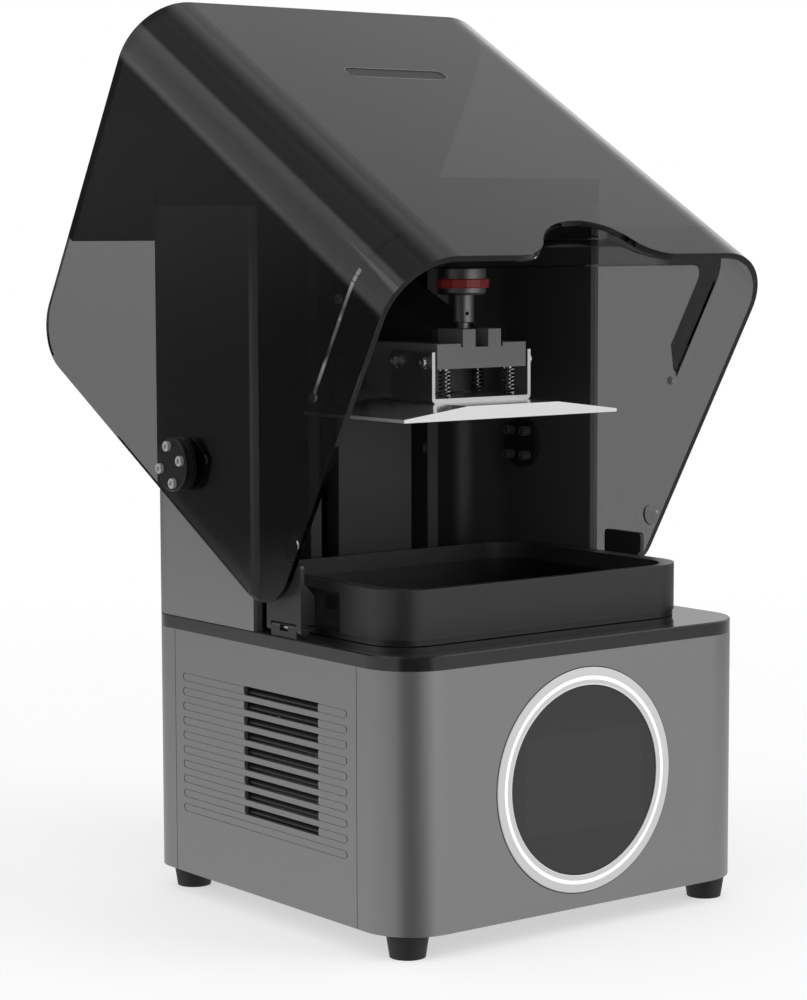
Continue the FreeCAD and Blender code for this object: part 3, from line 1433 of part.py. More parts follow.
def build_plate():
    """A sheet bracket bent up at both sides, and a plate whose top falls away to thin edges."""
    bracket = new_body("Bracket")
    half = "bracket_width / 2"
    inner = "bracket_width / 2 - bracket_wall"
    top = "plate_top + bracket_height"
    section = outline(bracket, "BracketSection", "XZ_Plane", "-head_y", [
        ("-(%s)" % half, "plate_top", "bend_outer"), (half, "plate_top", "bend_outer"),
        (half, top), (inner, top),
        (inner, "floor_top", "bend_inner"), ("-(%s)" % inner, "floor_top", "bend_inner"),
        ("-(%s)" % inner, top), ("-(%s)" % half, top)])
    pad(bracket, section, "bracket_depth").Reversed = True
    room = "side_screw_radius + side_screw_seat"
    low_z, high_z = "screw_level - float_travel - (%s)" % room, "screw_level + %s" % room
    for name, y in zip(("BracketSlotFront", "BracketSlotRear"), SIDE_SCREWS):
        slot = outline(bracket, name, "YZ_Plane", half, rectangle(
            "%s - (%s)" % (y, room), low_z, "%s + %s" % (y, room), high_z))
        pocket(bracket, slot, "bracket_width")
    subpart(bracket, "u_bracket")

    plate = new_body("BuildPlate")
    wide, narrow = "plate_width / 2", "plate_top_width / 2"
    front = "print_y - plate_depth / 2"
    section = outline(plate, "PlateSection", "XZ_Plane", "-(%s)" % front, [
        ("-(%s)" % wide, "plate_bottom"), (wide, "plate_bottom"), (wide, "plate_bottom + plate_rim"),
        (narrow, "plate_top"), ("-(%s)" % narrow, "plate_top"), ("-(%s)" % wide, "plate_bottom + plate_rim")])
    pad(plate, section, "plate_depth").Reversed = True
    subpart(plate, "build_plate")


def build_knob():
    """A knob turned with its stem and tip, a bar hole across the stem, and a band in the knob's waist."""
    knob = new_body("Knob")
    band_low = "knob_bottom + knob_band_low"
    waist = "knob_radius - knob_band_depth"
    tip = "tee_bottom - knob_seat"
    profile = [
        ("0", tip), ("tip_radius", tip),
        ("tip_radius", "stem_bottom"), ("stem_radius", "stem_bottom"), ("stem_radius", "knob_bottom"),
        ("knob_radius - knob_chamfer", "knob_bottom"), ("knob_radius", "knob_bottom + knob_chamfer"),
        ("knob_radius", band_low), (waist, band_low), (waist, "%s + knob_band" % band_low),
        ("knob_radius", "%s + knob_band" % band_low),
        ("knob_radius", "knob_bottom + knob_height - knob_chamfer"),
        ("knob_radius - knob_chamfer", "knob_bottom + knob_height"), ("0", "knob_bottom + knob_height")]
    turned(knob, outline(knob, "KnobProfile", "XZ_Plane", "0", profile))
    hole = sketch_on(knob, "KnobBarHole", "XZ_Plane", "stem_radius")
    add_circle(hole, "0", "stem_bottom + knob_hole_rise", "knob_hole_radius")
    pocket(knob, hole, "2 * stem_radius")
    place(knob, "0", "print_y", "0", Vector(0, 0, 1), -1.0)
    knob.setExpression("Placement.Rotation.Angle", bound("-knob_turn_angle"))
    subpart(knob, "clamp_knob")

    ring = new_body("KnobBand")
    turned(ring, outline(ring, "BandProfile", "XZ_Plane", "0", rectangle(
        "%s + band_fit" % waist, band_low, "knob_radius + band_proud", "%s + knob_band" % band_low)))
    place(ring, "0", "print_y", "0")
    subpart(ring, "knob_band")


# Vat

def build_vat():
    vat = new_body("Vat")
    foot = outline(vat, "VatOutline", "XY_Plane", "vat_bottom", rounded_box(
        "vat_half_width", "vat_front", "vat_back", "vat_radius", "vat_radius"))
    pad(vat, foot, "vat_height")
    inside_radius = "vat_radius - vat_wall"
    hollow = outline(vat, "VatHollow", "XY_Plane", "vat_top", rounded_box(
        "vat_half_width - vat_side_wall", "vat_front + vat_wall", "vat_back - vat_wall",
        inside_radius, inside_radius))
    pocket(vat, hollow, "vat_height - vat_floor")
    window = outline(vat, "VatWindow", "XY_Plane", "vat_bottom + vat_floor", rectangle(
        "-film_window_width / 2", "print_y - film_window_depth / 2",
        "film_window_width / 2", "print_y + film_window_depth / 2"))
    pocket(vat, window, "vat_floor")
    for name, lift, forward in (("VatPocketLeft", "-vat_half_width", True),
                                ("VatPocketRight", "vat_half_width", False)):
        low, high = "print_y - pocket_length / 2", "print_y + pocket_length / 2"
        side = outline(vat, name, "YZ_Plane", lift, [
            (low, "vat_bottom"), (high, "vat_bottom"), (high, "vat_top - pocket_rim", "pocket_corner"),
            (low, "vat_top - pocket_rim", "pocket_corner")])
        pocket(vat, side, "pocket_depth", forward)
    subpart(vat, "vat_body")

    frame = new_body("FilmFrame")
    frame_radius = "vat_radius - frame_inset"
    pad(frame, outline(frame, "FrameOutline", "XY_Plane", "frame_bottom", rounded_box(
        "vat_half_width - frame_inset", "vat_front + frame_inset", "vat_back - frame_inset",
        frame_radius, frame_radius)), "frame_height")
    window = outline(frame, "FrameWindow", "XY_Plane", "vat_bottom", rectangle(
        "-film_window_width / 2", "print_y - film_window_depth / 2",
        "film_window_width / 2", "print_y + film_window_depth / 2"))
    pocket(frame, window, "frame_height")
    subpart(frame, "film_frame")

    film_width = "(film_window_width + 2 * film_margin)"
    film_depth = "(film_window_depth + 2 * film_margin)"
    film = box("FilmSheet", ("-%s / 2" % film_width, "print_y - %s / 2" % film_depth, "film_bottom"),
               (film_width, film_depth, "film_thickness"))
    subpart(film, "release_film")


# Side clamps that hold the vat

def build_clamps():
    """Sprung plates on hinges at the deck's edges: a reach on each presses the vat's side."""
    half = "clamp_length / 2"
    top = "deck_top + clamp_height"
    body = new_body("RightClamp")
    plate = outline(body, "ClampPlate", "YZ_Plane", "clamp_x", [
        ("print_y - %s" % half, "clamp_z"), ("print_y + %s" % half, "clamp_z"),
        ("print_y + %s" % half, top, "clamp_corner"), ("print_y - %s" % half, top, "clamp_corner")])
    pad(body, plate, "clamp_plate")
    barrel = sketch_on(body, "ClampBarrel", "XZ_Plane", "%s - print_y" % half)
    add_circle(barrel, "clamp_pin_x", "clamp_z", "clamp_barrel")
    pad(body, barrel, "clamp_length").Reversed = True
    gap = outline(body, "ClampKnuckleGap", "YZ_Plane", "clamp_x - 2 * clamp_barrel", rectangle(
        "print_y - knuckle_length / 2 - knuckle_gap", "deck_top",
        "print_y + knuckle_length / 2 + knuckle_gap", "clamp_z + clamp_barrel + knuckle_gap"))
    pocket(body, gap, "clamp_plate + 4 * clamp_barrel", forward=True)
    bore = sketch_on(body, "ClampBore", "XZ_Plane", "%s - print_y" % half)
    add_circle(bore, "clamp_pin_x", "clamp_z", "clamp_pin + clamp_fit")
    pocket(body, bore, "clamp_length")
    wing = outline(body, "ClampWing", "XZ_Plane", "%s - print_y" % half, [
        ("clamp_x", "clamp_z + clamp_barrel"), ("clamp_x", "clamp_z + clamp_wing_height + clamp_wing"),
        ("clamp_x - clamp_wing", "clamp_z + clamp_wing_height"),
        ("clamp_x - clamp_wing", "clamp_z + clamp_barrel")])
    pad(body, wing, "clamp_wing_sheet").Reversed = True
    reach = outline(body, "ClampReach", "YZ_Plane", "vat_half_width + clamp_pad_gap", rectangle(
        "print_y - clamp_reach_width / 2", "deck_top + clamp_reach_level",
        "print_y + clamp_reach_width / 2", "deck_top + clamp_reach_level + clamp_reach_height"))
    pad(body, reach, "clamp_x - vat_half_width - clamp_pad_gap")
    subpart(mirrored("LeftClamp", body), "left_clamp")
    subpart(body, "right_clamp")

    leaves, pins = [], []
    for name, sign in (("Left", "-"), ("Right", "+")):
        pin_x = "0 %s clamp_pin_x" % sign
        knuckle = rod("Knuckle", (pin_x, "print_y - knuckle_length / 2", "clamp_z"), "clamp_barrel",
                      "knuckle_length", "y")
        web = box("KnuckleWeb", ("%s - clamp_barrel" % pin_x, "print_y - knuckle_length / 2", "deck_top"),
                  ("2 * clamp_barrel", "knuckle_length", "clamp_axis"))
        bore = rod("KnuckleBore", (pin_x, "print_y - knuckle_length / 2", "clamp_z"), "clamp_pin",
                   "knuckle_length", "y")
        window = box("KnuckleWindow", ("%s - 2 * clamp_barrel" % pin_x, "print_y - knuckle_window / 2",
                                       "clamp_z - knuckle_window_height / 2"),
                     ("4 * clamp_barrel", "knuckle_window", "knuckle_window_height"))
        leaves.append(cut(name + "Leaf", joined(name + "LeafBlock", [knuckle, web]), [bore, window]))
        pin_end = (pin_x, "print_y - %s" % half, "clamp_z")
        pins.append(rod("ClampPin", pin_end, "clamp_pin", "clamp_length", "y"))
    subpart(grouped("ClampFeet", leaves), "clamp_feet")
    subpart(grouped("ClampPins", pins), "clamp_pins")


# Hood, drawn closed about its hinge axis and then swung open

def wave_outline():
    """The wave in the hood's lip: a crown between two feet that run out into the lip."""
    return [
        ("wave_crown - wave_left", "-hood_drop", "left_foot_radius", 1),
        ("wave_crown - wave_left * wave_left_share", "wave_height * (1 - wave_left_share) - hood_drop",
         "left_top_radius", -1),
        ("wave_crown", "wave_height - hood_drop", "right_top_radius", -1),
        ("wave_crown + wave_right * wave_right_share", "wave_height * (1 - wave_right_share) - hood_drop",
         "right_foot_radius", 1),
        ("wave_crown + wave_right", "-hood_drop", None, 0)]


def build_hood_shell():
    shell = new_body("HoodShell")
    inner_radius = "hood_radius - hood_wall"
    side = "hood_outside"
    wall = outline(shell, "HoodWall", "XY_Plane", "-hood_drop", [
        ("-%s" % side, "hood_back"), ("-%s" % side, "-hood_reach", "hood_radius"),
        (side, "-hood_reach", "hood_radius"), (side, "hood_back"), ("hood_inside", "hood_back"),
        ("hood_inside", "hood_wall - hood_reach", inner_radius),
        ("-hood_inside", "hood_wall - hood_reach", inner_radius), ("-hood_inside", "hood_back")])
    pad(shell, wall, "hood_drop + hood_rise")
    end = outline(shell, "HoodEnd", "XY_Plane", "hood_rise - hood_wall", [
        ("-hood_inside - hood_wall / 2", "-hood_cap_back"),
        ("-hood_inside - hood_wall / 2", "hood_wall / 2 - hood_reach", "hood_radius - hood_wall / 2"),
        ("hood_inside + hood_wall / 2", "hood_wall / 2 - hood_reach", "hood_radius - hood_wall / 2"),
        ("hood_inside + hood_wall / 2", "-hood_cap_back")])
    end_plate = pad(shell, end, "hood_wall")
    doc.recompute()
    back = number("hood_back")
    inside = number("hood_inside")

    def is_rear_corner(edge, middle):
        across = abs(edge.Vertexes[0].X - edge.Vertexes[-1].X) > TINY
        return across and abs(middle.y - back) < TINY and abs(middle.x) > inside

    corners = edges_where(end_plate, is_rear_corner)
    dressed(shell, "Fillet", end_plate, corners, "Radius", "hood_corner")
    wave = sketch_on(shell, "HoodWave", "XZ_Plane", "hood_reach")
    draw(wave, wave_outline())
    pocket(shell, wave, "2 * hood_wall")
    bores = sketch_on(shell, "HoodBore", "YZ_Plane", "hood_outside")
    add_circle(bores, "0", "0", "pin_radius + pin_fit")
    pocket(shell, bores, "2 * hood_outside")
    recess = sketch_on(shell, "HoodBadge", "XZ_Plane", "hood_reach")
    add_obround(recess, "0", "badge_rise", "badge_length / 2 - badge_height / 2", "badge_height / 2")
    pocket(shell, recess, "badge_depth")
    seats = sketch_on(shell, "HoodMagnet", "YZ_Plane", "hood_inside + magnet_depth")
    add_circle(seats, "-magnet_y", "-magnet_drop", "magnet_radius + fit_gap")
    pocket(shell, seats, "2 * (hood_inside + magnet_depth)")
    subpart(place_in_hood(shell), "hood_shell")


def over_turn(side, sign):
    """Where the outside of the band round the wave turns from crown to foot on one side."""
    names = {"side": side, "sign": sign}
    share = "(%(side)s_top_radius + arch_wall) / wave_%(side)s_sum" % names
    x = "wave_crown %(sign)s wave_%(side)s * " % names + share
    z = "wave_height - %(side)s_top_radius + (wave_%(side)s_sum - wave_height) * " % names + share
    return x, z + " - hood_drop"


def arch_outline():
    """A band that follows the wave in the hood's lip, drawn along the wave and back along its outside."""
    right_x, right_z = over_turn("right", "+")
    left_x, left_z = over_turn("left", "-")
    return wave_outline() + [
        ("wave_crown + wave_right", "arch_wall - hood_drop", "right_foot_radius - arch_wall", -1),
        (right_x, right_z, "right_top_radius + arch_wall", 1),
        ("wave_crown", "wave_height + arch_wall - hood_drop", "left_top_radius + arch_wall", 1),
        (left_x, left_z, "left_foot_radius - arch_wall", -1),
        ("wave_crown - wave_left", "arch_wall - hood_drop", None, 0)]


def build_hood_fittings():
    baffle = new_body("Baffle")
    front = "hood_wall - hood_reach"
    corner = "hood_radius - hood_wall"
    free = "baffle_front + hood_wall - hood_reach"
    arm = "hood_inside - baffle_side"
    pad(baffle, outline(baffle, "BaffleOutline", "XY_Plane", "baffle_bottom", [
        ("-hood_inside", front, corner), ("hood_inside", front, corner), ("hood_inside", "-baffle_end"),
        (arm, "-baffle_end - baffle_slant"), (arm, free, "baffle_radius"),
        ("-(%s)" % arm, free, "baffle_radius"), ("-(%s)" % arm, "-baffle_end - baffle_slant"),
        ("-hood_inside", "-baffle_end")]), "baffle_thickness")
    arch = sketch_on(baffle, "BaffleArch", "XZ_Plane", "-(%s)" % front)
    draw(arch, arch_outline())
    pad(baffle, arch, "arch_depth").Reversed = True
    room = sketch_on(baffle, "BaffleWaveRoom", "XZ_Plane", "-(%s)" % front)
    draw(room, wave_outline())
    pocket(baffle, room, "arch_depth - arch_wall")
    web = sketch_on(baffle, "BaffleWaveWeb", "XZ_Plane", "arch_wall - arch_depth - (%s)" % front)
    draw(web, wave_outline())
    pad(baffle, web, "arch_wall").Reversed = True
    lean = "(arch_depth - arch_edge) * baffle_set / wave_height"
    trim = outline(baffle, "ArchTrim", "YZ_Plane", "hood_inside", [
        ("%s + arch_edge" % front, "-hood_drop"), ("%s + arch_depth" % front, "-hood_drop"),
        ("%s + arch_depth" % front, "baffle_bottom"),
        ("%s + arch_edge + %s" % (front, lean), "baffle_bottom")])
    pocket(baffle, trim, "2 * hood_inside")
    subpart(place_in_hood(baffle), "light_baffle")

    badge = new_body("Badge")
    face = sketch_on(badge, "BadgeOutline", "XZ_Plane", "hood_reach - badge_depth")
    add_obround(face, "0", "badge_rise", "badge_length / 2 - badge_height / 2", "badge_height / 2 - fit_gap")
    pad(badge, face, "badge_depth - badge_sunk")
    subpart(place_in_hood(badge), "blank_badge")

    magnets = [
        rod("MagnetLeft", ("-hood_inside - magnet_depth", "-magnet_y", "-magnet_drop"), "magnet_radius",
            "magnet_depth", "x"),
        rod("MagnetRight", ("hood_inside", "-magnet_y", "-magnet_drop"), "magnet_radius", "magnet_depth",
            "x")]
    subpart(place_in_hood(grouped("Magnets", magnets)), "hood_magnets")


def cap_screw(name, way, start, y, z, height, socket_start):
    """A socket cap head along X on one side of the hood, with its socket from a distance of its own."""
    head = outward_rod(name + "Head", way, start, y, z, "cap_screw_radius", height)
    socket = outward_rod(name + "Socket", way, socket_start, y, z, "cap_screw_socket", "socket_depth")
    return cut(name, head, [socket])


def build_hubs():
    """A disc with four cap screws outside each hood wall, and a flanged pin with four inside the column."""
    discs, screws, pins, studs = [], [], [], []
    diagonal = "cap_screw_circle * sqrt(2) / 2"
    hub_face = "hood_outside + hub_thickness"
    stud_end = "column_inside - flange_thickness - stud_length"
    for name, way in (("Left", -1), ("Right", 1)):
        disc = new_body(name + "Disc")
        step = "hub_radius - hub_step"
        dish = "pin_radius + hub_dish_gap"
        low = "(hub_thickness - hub_ring) / 2"
        high = "(hub_thickness + hub_ring) / 2"
        turned(disc, outline(disc, name + "DiscProfile", "XZ_Plane", "0", [
            ("0", "hub_dish"), (dish, "hub_dish"), (dish, "0"), ("hub_radius", "0"), ("hub_radius", low),
            (step, low), (step, high), ("hub_radius", high), ("hub_radius", "hub_thickness - hub_edge"),
            ("hub_radius - hub_edge", "hub_thickness"), ("0", "hub_thickness")]))
        place(disc, "hood_outside * %d" % way, "0", "0", Y_AXIS, 90.0 * way)
        discs.append(disc)
        for y in ("-", "+"):
            for z in ("-", "+"):
                across, up = "0 %s %s" % (y, diagonal), "0 %s %s" % (z, diagonal)
                screws.append(cap_screw("HubScrew", way, hub_face, across, up, "cap_screw_height",
                                        "%s + cap_screw_height - socket_depth" % hub_face))
                studs.append(cap_screw("PinScrew", way, stud_end, "hinge_y + " + across, "hinge_z + " + up,
                                       "stud_length", stud_end))
        pin = new_body(name + "Pin")
        collar_end = "hood_inside - fit_gap"
        turned(pin, outline(pin, name + "PinProfile", "XZ_Plane", "0", [
            ("0", "column_inside - flange_thickness"), ("flange_radius", "column_inside - flange_thickness"),
            ("flange_radius", "column_inside"), ("pin_radius", "column_inside"), ("pin_radius", "half_width"),
            ("collar_radius", "half_width"), ("collar_radius", collar_end), ("pin_radius", collar_end),
            ("pin_radius", "hood_outside + pin_end"), ("0", "hood_outside + pin_end")]))
        place(pin, "0", "hinge_y", "hinge_z", Y_AXIS, 90.0 * way)
        pins.append(pin)
    subpart(place_in_hood(grouped("HubDiscs", discs)), "hub_discs")
    subpart(place_in_hood(grouped("HubScrews", screws)), "hub_screws")
    subpart(grouped("HingePins", pins), "hinge_pins")
    subpart(grouped("HingeScrews", studs), "hinge_screws")


def build_all():
    fill_sheet()
    build_bottom_pan()
    build_front_shell()
    build_side_panels()
    build_rear_panel()
    build_feet()
    build_deck()
    build_round_screen()
    build_light_engine()
    build_fan()
    build_electrics()
    build_column()
    build_lift_guides()
    build_carriage()
    build_arm()
    build_head()
    build_springs()
    build_plate()
    build_knob()
    build_vat()
    build_clamps()
    build_hood_shell()
    build_hood_fittings()
    build_hubs()
    doc.recompute()


def check_all():
    """Stop before anything is written if an object failed or a sub-part has no sound shape."""
    failed = [thing.Label for thing in doc.Objects if {"Invalid", "Error"} & set(thing.State)]
    unsound = [thing.Label for thing in SUBPARTS if thing.Shape.isNull() or not thing.Shape.isValid()]
    if failed or unsound:
        raise RuntimeError("failed: %s; unsound: %s" % (failed, unsound))


def export_all():
    os.makedirs("parts", exist_ok=True)
    for thing in SUBPARTS:
        thing.Shape.exportStep(os.path.join("parts", thing.Label + ".step"))


build_all()
check_all()
export_all()
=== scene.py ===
import json
import math

import bmesh
import bpy
from mathutils import Matrix, Vector


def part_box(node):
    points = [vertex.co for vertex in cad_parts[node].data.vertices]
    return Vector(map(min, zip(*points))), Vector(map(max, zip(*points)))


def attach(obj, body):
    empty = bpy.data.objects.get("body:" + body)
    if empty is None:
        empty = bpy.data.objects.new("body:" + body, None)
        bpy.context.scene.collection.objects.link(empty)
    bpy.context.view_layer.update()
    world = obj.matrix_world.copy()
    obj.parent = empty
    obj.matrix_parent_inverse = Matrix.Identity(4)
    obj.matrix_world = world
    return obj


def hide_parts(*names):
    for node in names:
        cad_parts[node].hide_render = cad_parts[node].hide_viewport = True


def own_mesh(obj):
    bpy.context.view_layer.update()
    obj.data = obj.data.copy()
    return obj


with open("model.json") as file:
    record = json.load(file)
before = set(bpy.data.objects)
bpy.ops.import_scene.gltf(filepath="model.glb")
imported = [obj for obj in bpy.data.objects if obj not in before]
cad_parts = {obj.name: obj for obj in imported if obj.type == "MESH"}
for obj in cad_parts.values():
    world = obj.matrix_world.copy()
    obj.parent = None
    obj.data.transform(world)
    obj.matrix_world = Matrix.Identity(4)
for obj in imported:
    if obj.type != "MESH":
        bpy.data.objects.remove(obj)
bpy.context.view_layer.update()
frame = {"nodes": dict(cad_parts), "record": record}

MM = 0.001

# The photograph's frame and the camera that was worked out from the base's outline
PHOTO_LONG_SIDE = 1000.0
FOCAL_PIXELS = 2718.43
SENSOR = 36.0
CAMERA_PLACE = Vector((-1.1479, -1.4420, 0.4534))
CAMERA_TARGET = Vector((-0.0367, 0.0, 0.27237))
CAMERA_ROLL = math.radians(-0.148)

# Studio
FLOOR_SIZE = 4.0
FLOOR_SHOWN_RADIUS = 0.75
FLOOR_FADED_RADIUS = 1.6
FLOOR_SHADE = 0.55
FLOOR_LIFT = 0.52
AMBIENT = 0.72
LAMP_TARGET = Vector((0.0, 0.0, 0.25))
LAMPS = (
    ("key_softbox", (1.3, -1.6, 1.7), (1.4, 1.4), 14.0),
    ("side_softbox", (-1.9, 0.3, 1.1), (1.2, 1.4), 7.0),
)

# What gloss reflects: a direction, where the patch fades in and where it is full, and its strength
DARK_ROOM = 0.012
SOFT_BOXES = (
    ((0.66, 0.27, 0.70), 0.72, 0.95, 0.95),
    ((0.60, -0.77, 0.22), 0.93, 0.98, 1.20),
    ((-0.72, 0.545, 0.42), 0.895, 0.93, 1.45),
    ((-0.52, 0.24, 0.82), 0.88, 0.98, 0.60),
    ((-0.53, 0.835, 0.15), 0.980, 0.994, 0.22),
    ((0.10, 0.24, 0.966), 0.93, 0.98, 0.45),
    ((0.61, 0.77, 0.17), 0.90, 0.98, 0.62),
)
FLOOR_GLOW = 0.75
FLOOR_GLOW_START = -0.105
FLOOR_GLOW_FULL = -0.16
STRIP_SIDE = (0.02, -1.0, 0.0)
STRIP_EDGE = 0.90
STRIP_FULL = 0.97
STRIP_LOW = -0.145
STRIP_LIT = -0.10
STRIP_GLOW = 1.30
CAMERA_SIDE = (-0.48, -0.87, -0.15)
CAMERA_SIDE_EDGE = 0.76
CAMERA_SIDE_DARK = 0.93


# Node trees

class Nodes:
    """A node tree that is filled by short calls."""

    def __init__(self, tree):
        self.tree = tree

    def add(self, kind, **settings):
        node = self.tree.nodes.new("ShaderNode" + kind)
        for name, value in settings.items():
            setattr(node, name, value)
        return node

    def link(self, source, target):
        self.tree.links.new(source, target)

    def put(self, socket, value):
        """Link an input to another socket, or set its value."""
        if isinstance(value, bpy.types.NodeSocket):
            self.link(value, socket)
        else:
            socket.default_value = value

    def feed(self, node, **values):
        """Fill a node's inputs by name, with spaces written as underscores."""
        for name, value in values.items():
            self.put(node.inputs[name.replace("_", " ")], value)
        return node

    def math(self, operation, *values):
        node = self.add("Math", operation=operation)
        for socket, value in zip(node.inputs, values):
            self.put(socket, value)
        return node.outputs[0]

    def blend(self, factor, first, second):
        """A colour between two colours."""
        node = self.add("Mix", data_type="RGBA")
        for index, value in ((0, factor), (6, first), (7, second)):
            self.put(node.inputs[index], value)
        return node.outputs[2]

    def spread(self, value, low, high, new_low, new_high, smooth=False):
        """A value carried from one range to another and held there."""
        node = self.add("MapRange", clamp=True)
        if smooth:
            node.interpolation_type = "SMOOTHSTEP"
        self.link(value, node.inputs[0])
        for socket, number in zip(list(node.inputs)[1:5], (low, high, new_low, new_high)):
            self.put(socket, number)
        return node.outputs[0]

    def noise(self, place, scale, detail=2.0, roughness=0.5):
        node = self.add("TexNoise", noise_dimensions="3D")
        self.feed(node, Vector=place, Scale=scale, Detail=detail, Roughness=roughness)
        return node.outputs["Fac"]

    def place_on_part(self):
        return self.add("TexCoord").outputs["Object"]


def new_group(name, inputs, outputs):
    """A shader node group with named sockets; gives its nodes and its two ends."""
    tree = bpy.data.node_groups.new(name, "ShaderNodeTree")
    for label, kind, value in inputs:
        socket = tree.interface.new_socket(label, in_out="INPUT", socket_type="NodeSocket" + kind)
        socket.default_value = value
    for label, kind in outputs:
        tree.interface.new_socket(label, in_out="OUTPUT", socket_type="NodeSocket" + kind)
    nodes = Nodes(tree)
    return nodes, tree.nodes.new("NodeGroupInput"), tree.nodes.new("NodeGroupOutput")


GREY = (0.5, 0.5, 0.5, 1.0)


def shade(level):
    """A neutral colour."""
    return (level, level, level, 1.0)


def varied(nodes, start, end, pattern, height):
    """Tone and roughness that follow a pattern, sent with a height to the group's end."""
    centred = nodes.math("SUBTRACT", pattern, 0.5)
    tone = nodes.math("ADD", 1.0, nodes.math("MULTIPLY", centred, start.outputs["Tone spread"]))
    vary = nodes.add("VectorMath", operation="SCALE")
    nodes.link(start.outputs["Colour"], vary.inputs[0])
    nodes.link(tone, vary.inputs["Scale"])
    rough = nodes.math("ADD", start.outputs["Roughness"],
                       nodes.math("MULTIPLY", centred, start.outputs["Roughness spread"]))
    nodes.link(vary.outputs[0], end.inputs["Colour"])
    nodes.link(rough, end.inputs["Roughness"])
    nodes.link(height, end.inputs["Height"])
    return nodes.tree


def make_moulded_group():
    """Fine moulded or sprayed skin, which changes from grain to grain and from patch to patch."""
    nodes, start, end = new_group(
        "moulded_skin",
        (("Colour", "Color", GREY), ("Roughness", "Float", 0.4), ("Grain scale", "Float", 1400.0),
         ("Tone spread", "Float", 0.06), ("Roughness spread", "Float", 0.08)),
        (("Colour", "Color"), ("Roughness", "Float"), ("Height", "Float")))
    place = nodes.place_on_part()
    grain = nodes.noise(place, start.outputs["Grain scale"], 3.0, 0.55)
    patch = nodes.noise(place, 14.0, 3.0, 0.5)
    both = nodes.math("ADD", nodes.math("MULTIPLY", grain, 0.5), nodes.math("MULTIPLY", patch, 0.5))
    return varied(nodes, start, end, both, grain)


def make_brushed_group():
    """Lines of a turned, milled or drawn metal along one axis, with a fine blasted grain between them."""
    nodes, start, end = new_group(
        "brushed_metal",
        (("Colour", "Color", GREY), ("Roughness", "Float", 0.3),
         ("Stretch", "Vector", (40.0, 2500.0, 2500.0)), ("Tone spread", "Float", 0.12),
         ("Roughness spread", "Float", 0.15)),
        (("Colour", "Color"), ("Roughness", "Float"), ("Height", "Float")))
    place = nodes.add("VectorMath", operation="MULTIPLY")
    nodes.link(nodes.place_on_part(), place.inputs[0])
    nodes.link(start.outputs["Stretch"], place.inputs[1])
    lines = nodes.noise(place.outputs[0], 1.0, 4.0, 0.6)
    return varied(nodes, start, end, lines, lines)


def make_edge_group():
    """A mask that is one along the sharp edges of a piece, broken up as handling wears them; it carries edge
    wear and painted edge highlights.
    """
    nodes, start, end = new_group(
        "rubbed_and_painted_highlight_edges",
        (("Width", "Float", 0.6 * MM), ("Strength", "Float", 0.6)),
        (("Mask", "Float"),))
    bevel = nodes.add("Bevel", samples=4)
    nodes.link(start.outputs["Width"], bevel.inputs["Radius"])
    turn = nodes.add("VectorMath", operation="DOT_PRODUCT")
    nodes.link(bevel.outputs[0], turn.inputs[0])
    nodes.link(nodes.add("NewGeometry").outputs["Normal"], turn.inputs[1])
    edge = nodes.spread(turn.outputs["Value"], 0.985, 0.86, 0.0, 1.0)
    broken = nodes.spread(nodes.noise(nodes.place_on_part(), 260.0, 3.0), 0.35, 0.65, 0.45, 1.0)
    mask = nodes.math("MULTIPLY", nodes.math("MULTIPLY", edge, broken), start.outputs["Strength"])
    nodes.link(mask, end.inputs["Mask"])
    return nodes.tree


def make_dust_group():
    """Light dust that settles on what faces up."""
    nodes, start, end = new_group(
        "settled_dust",
        (("Colour", "Color", GREY), ("Amount", "Float", 0.05)),
        (("Colour", "Color"),))
    split = nodes.add("SeparateXYZ")
    nodes.link(nodes.add("NewGeometry").outputs["Normal"], split.inputs[0])
    upward = nodes.spread(split.outputs["Z"], 0.55, 0.95, 0.0, 1.0)
    specks = nodes.spread(nodes.noise(nodes.place_on_part(), 900.0, 2.0), 0.5, 0.75, 0.2, 1.0)
    amount = nodes.math("MULTIPLY", nodes.math("MULTIPLY", upward, specks), start.outputs["Amount"])
    colour = nodes.blend(amount, start.outputs["Colour"], shade(0.55))
    nodes.link(colour, end.inputs["Colour"])
    return nodes.tree


def make_smudge_group():
    """Handling smears on gloss: a roughness that drifts over the surface."""
    nodes, start, end = new_group(
        "smudged_gloss",
        (("Roughness", "Float", 0.05), ("Smear", "Float", 0.05), ("Patch scale", "Float", 18.0)),
        (("Roughness", "Float"),))
    patch = nodes.noise(nodes.place_on_part(), start.outputs["Patch scale"], 4.0, 0.6)
    smear = nodes.math("MULTIPLY", nodes.spread(patch, 0.4, 0.75, 0.0, 1.0), start.outputs["Smear"])
    nodes.link(nodes.math("ADD", start.outputs["Roughness"], smear), end.inputs["Roughness"])
    return nodes.tree


MOULDED = make_moulded_group()
BRUSHED = make_brushed_group()
RUBBED_AND_HIGHLIGHT_EDGES = make_edge_group()
DUST = make_dust_group()
SMUDGED = make_smudge_group()


# Finishes

def new_material(name):
    made = bpy.data.materials.new(name)
    made.use_nodes = True
    made.node_tree.nodes.clear()
    nodes = Nodes(made.node_tree)
    shader = nodes.add("BsdfPrincipled")
    nodes.link(shader.outputs[0], nodes.add("OutputMaterial").inputs[0])
    return made, nodes, shader


def placed(nodes, tree, **values):
    group = nodes.add("Group")
    group.node_tree = tree
    return nodes.feed(group, **values)


def bumped(nodes, shader, height, strength, distance):
    bump = nodes.add("Bump")
    nodes.feed(bump, Strength=strength, Distance=distance, Height=height)
    nodes.link(bump.outputs[0], shader.inputs["Normal"])


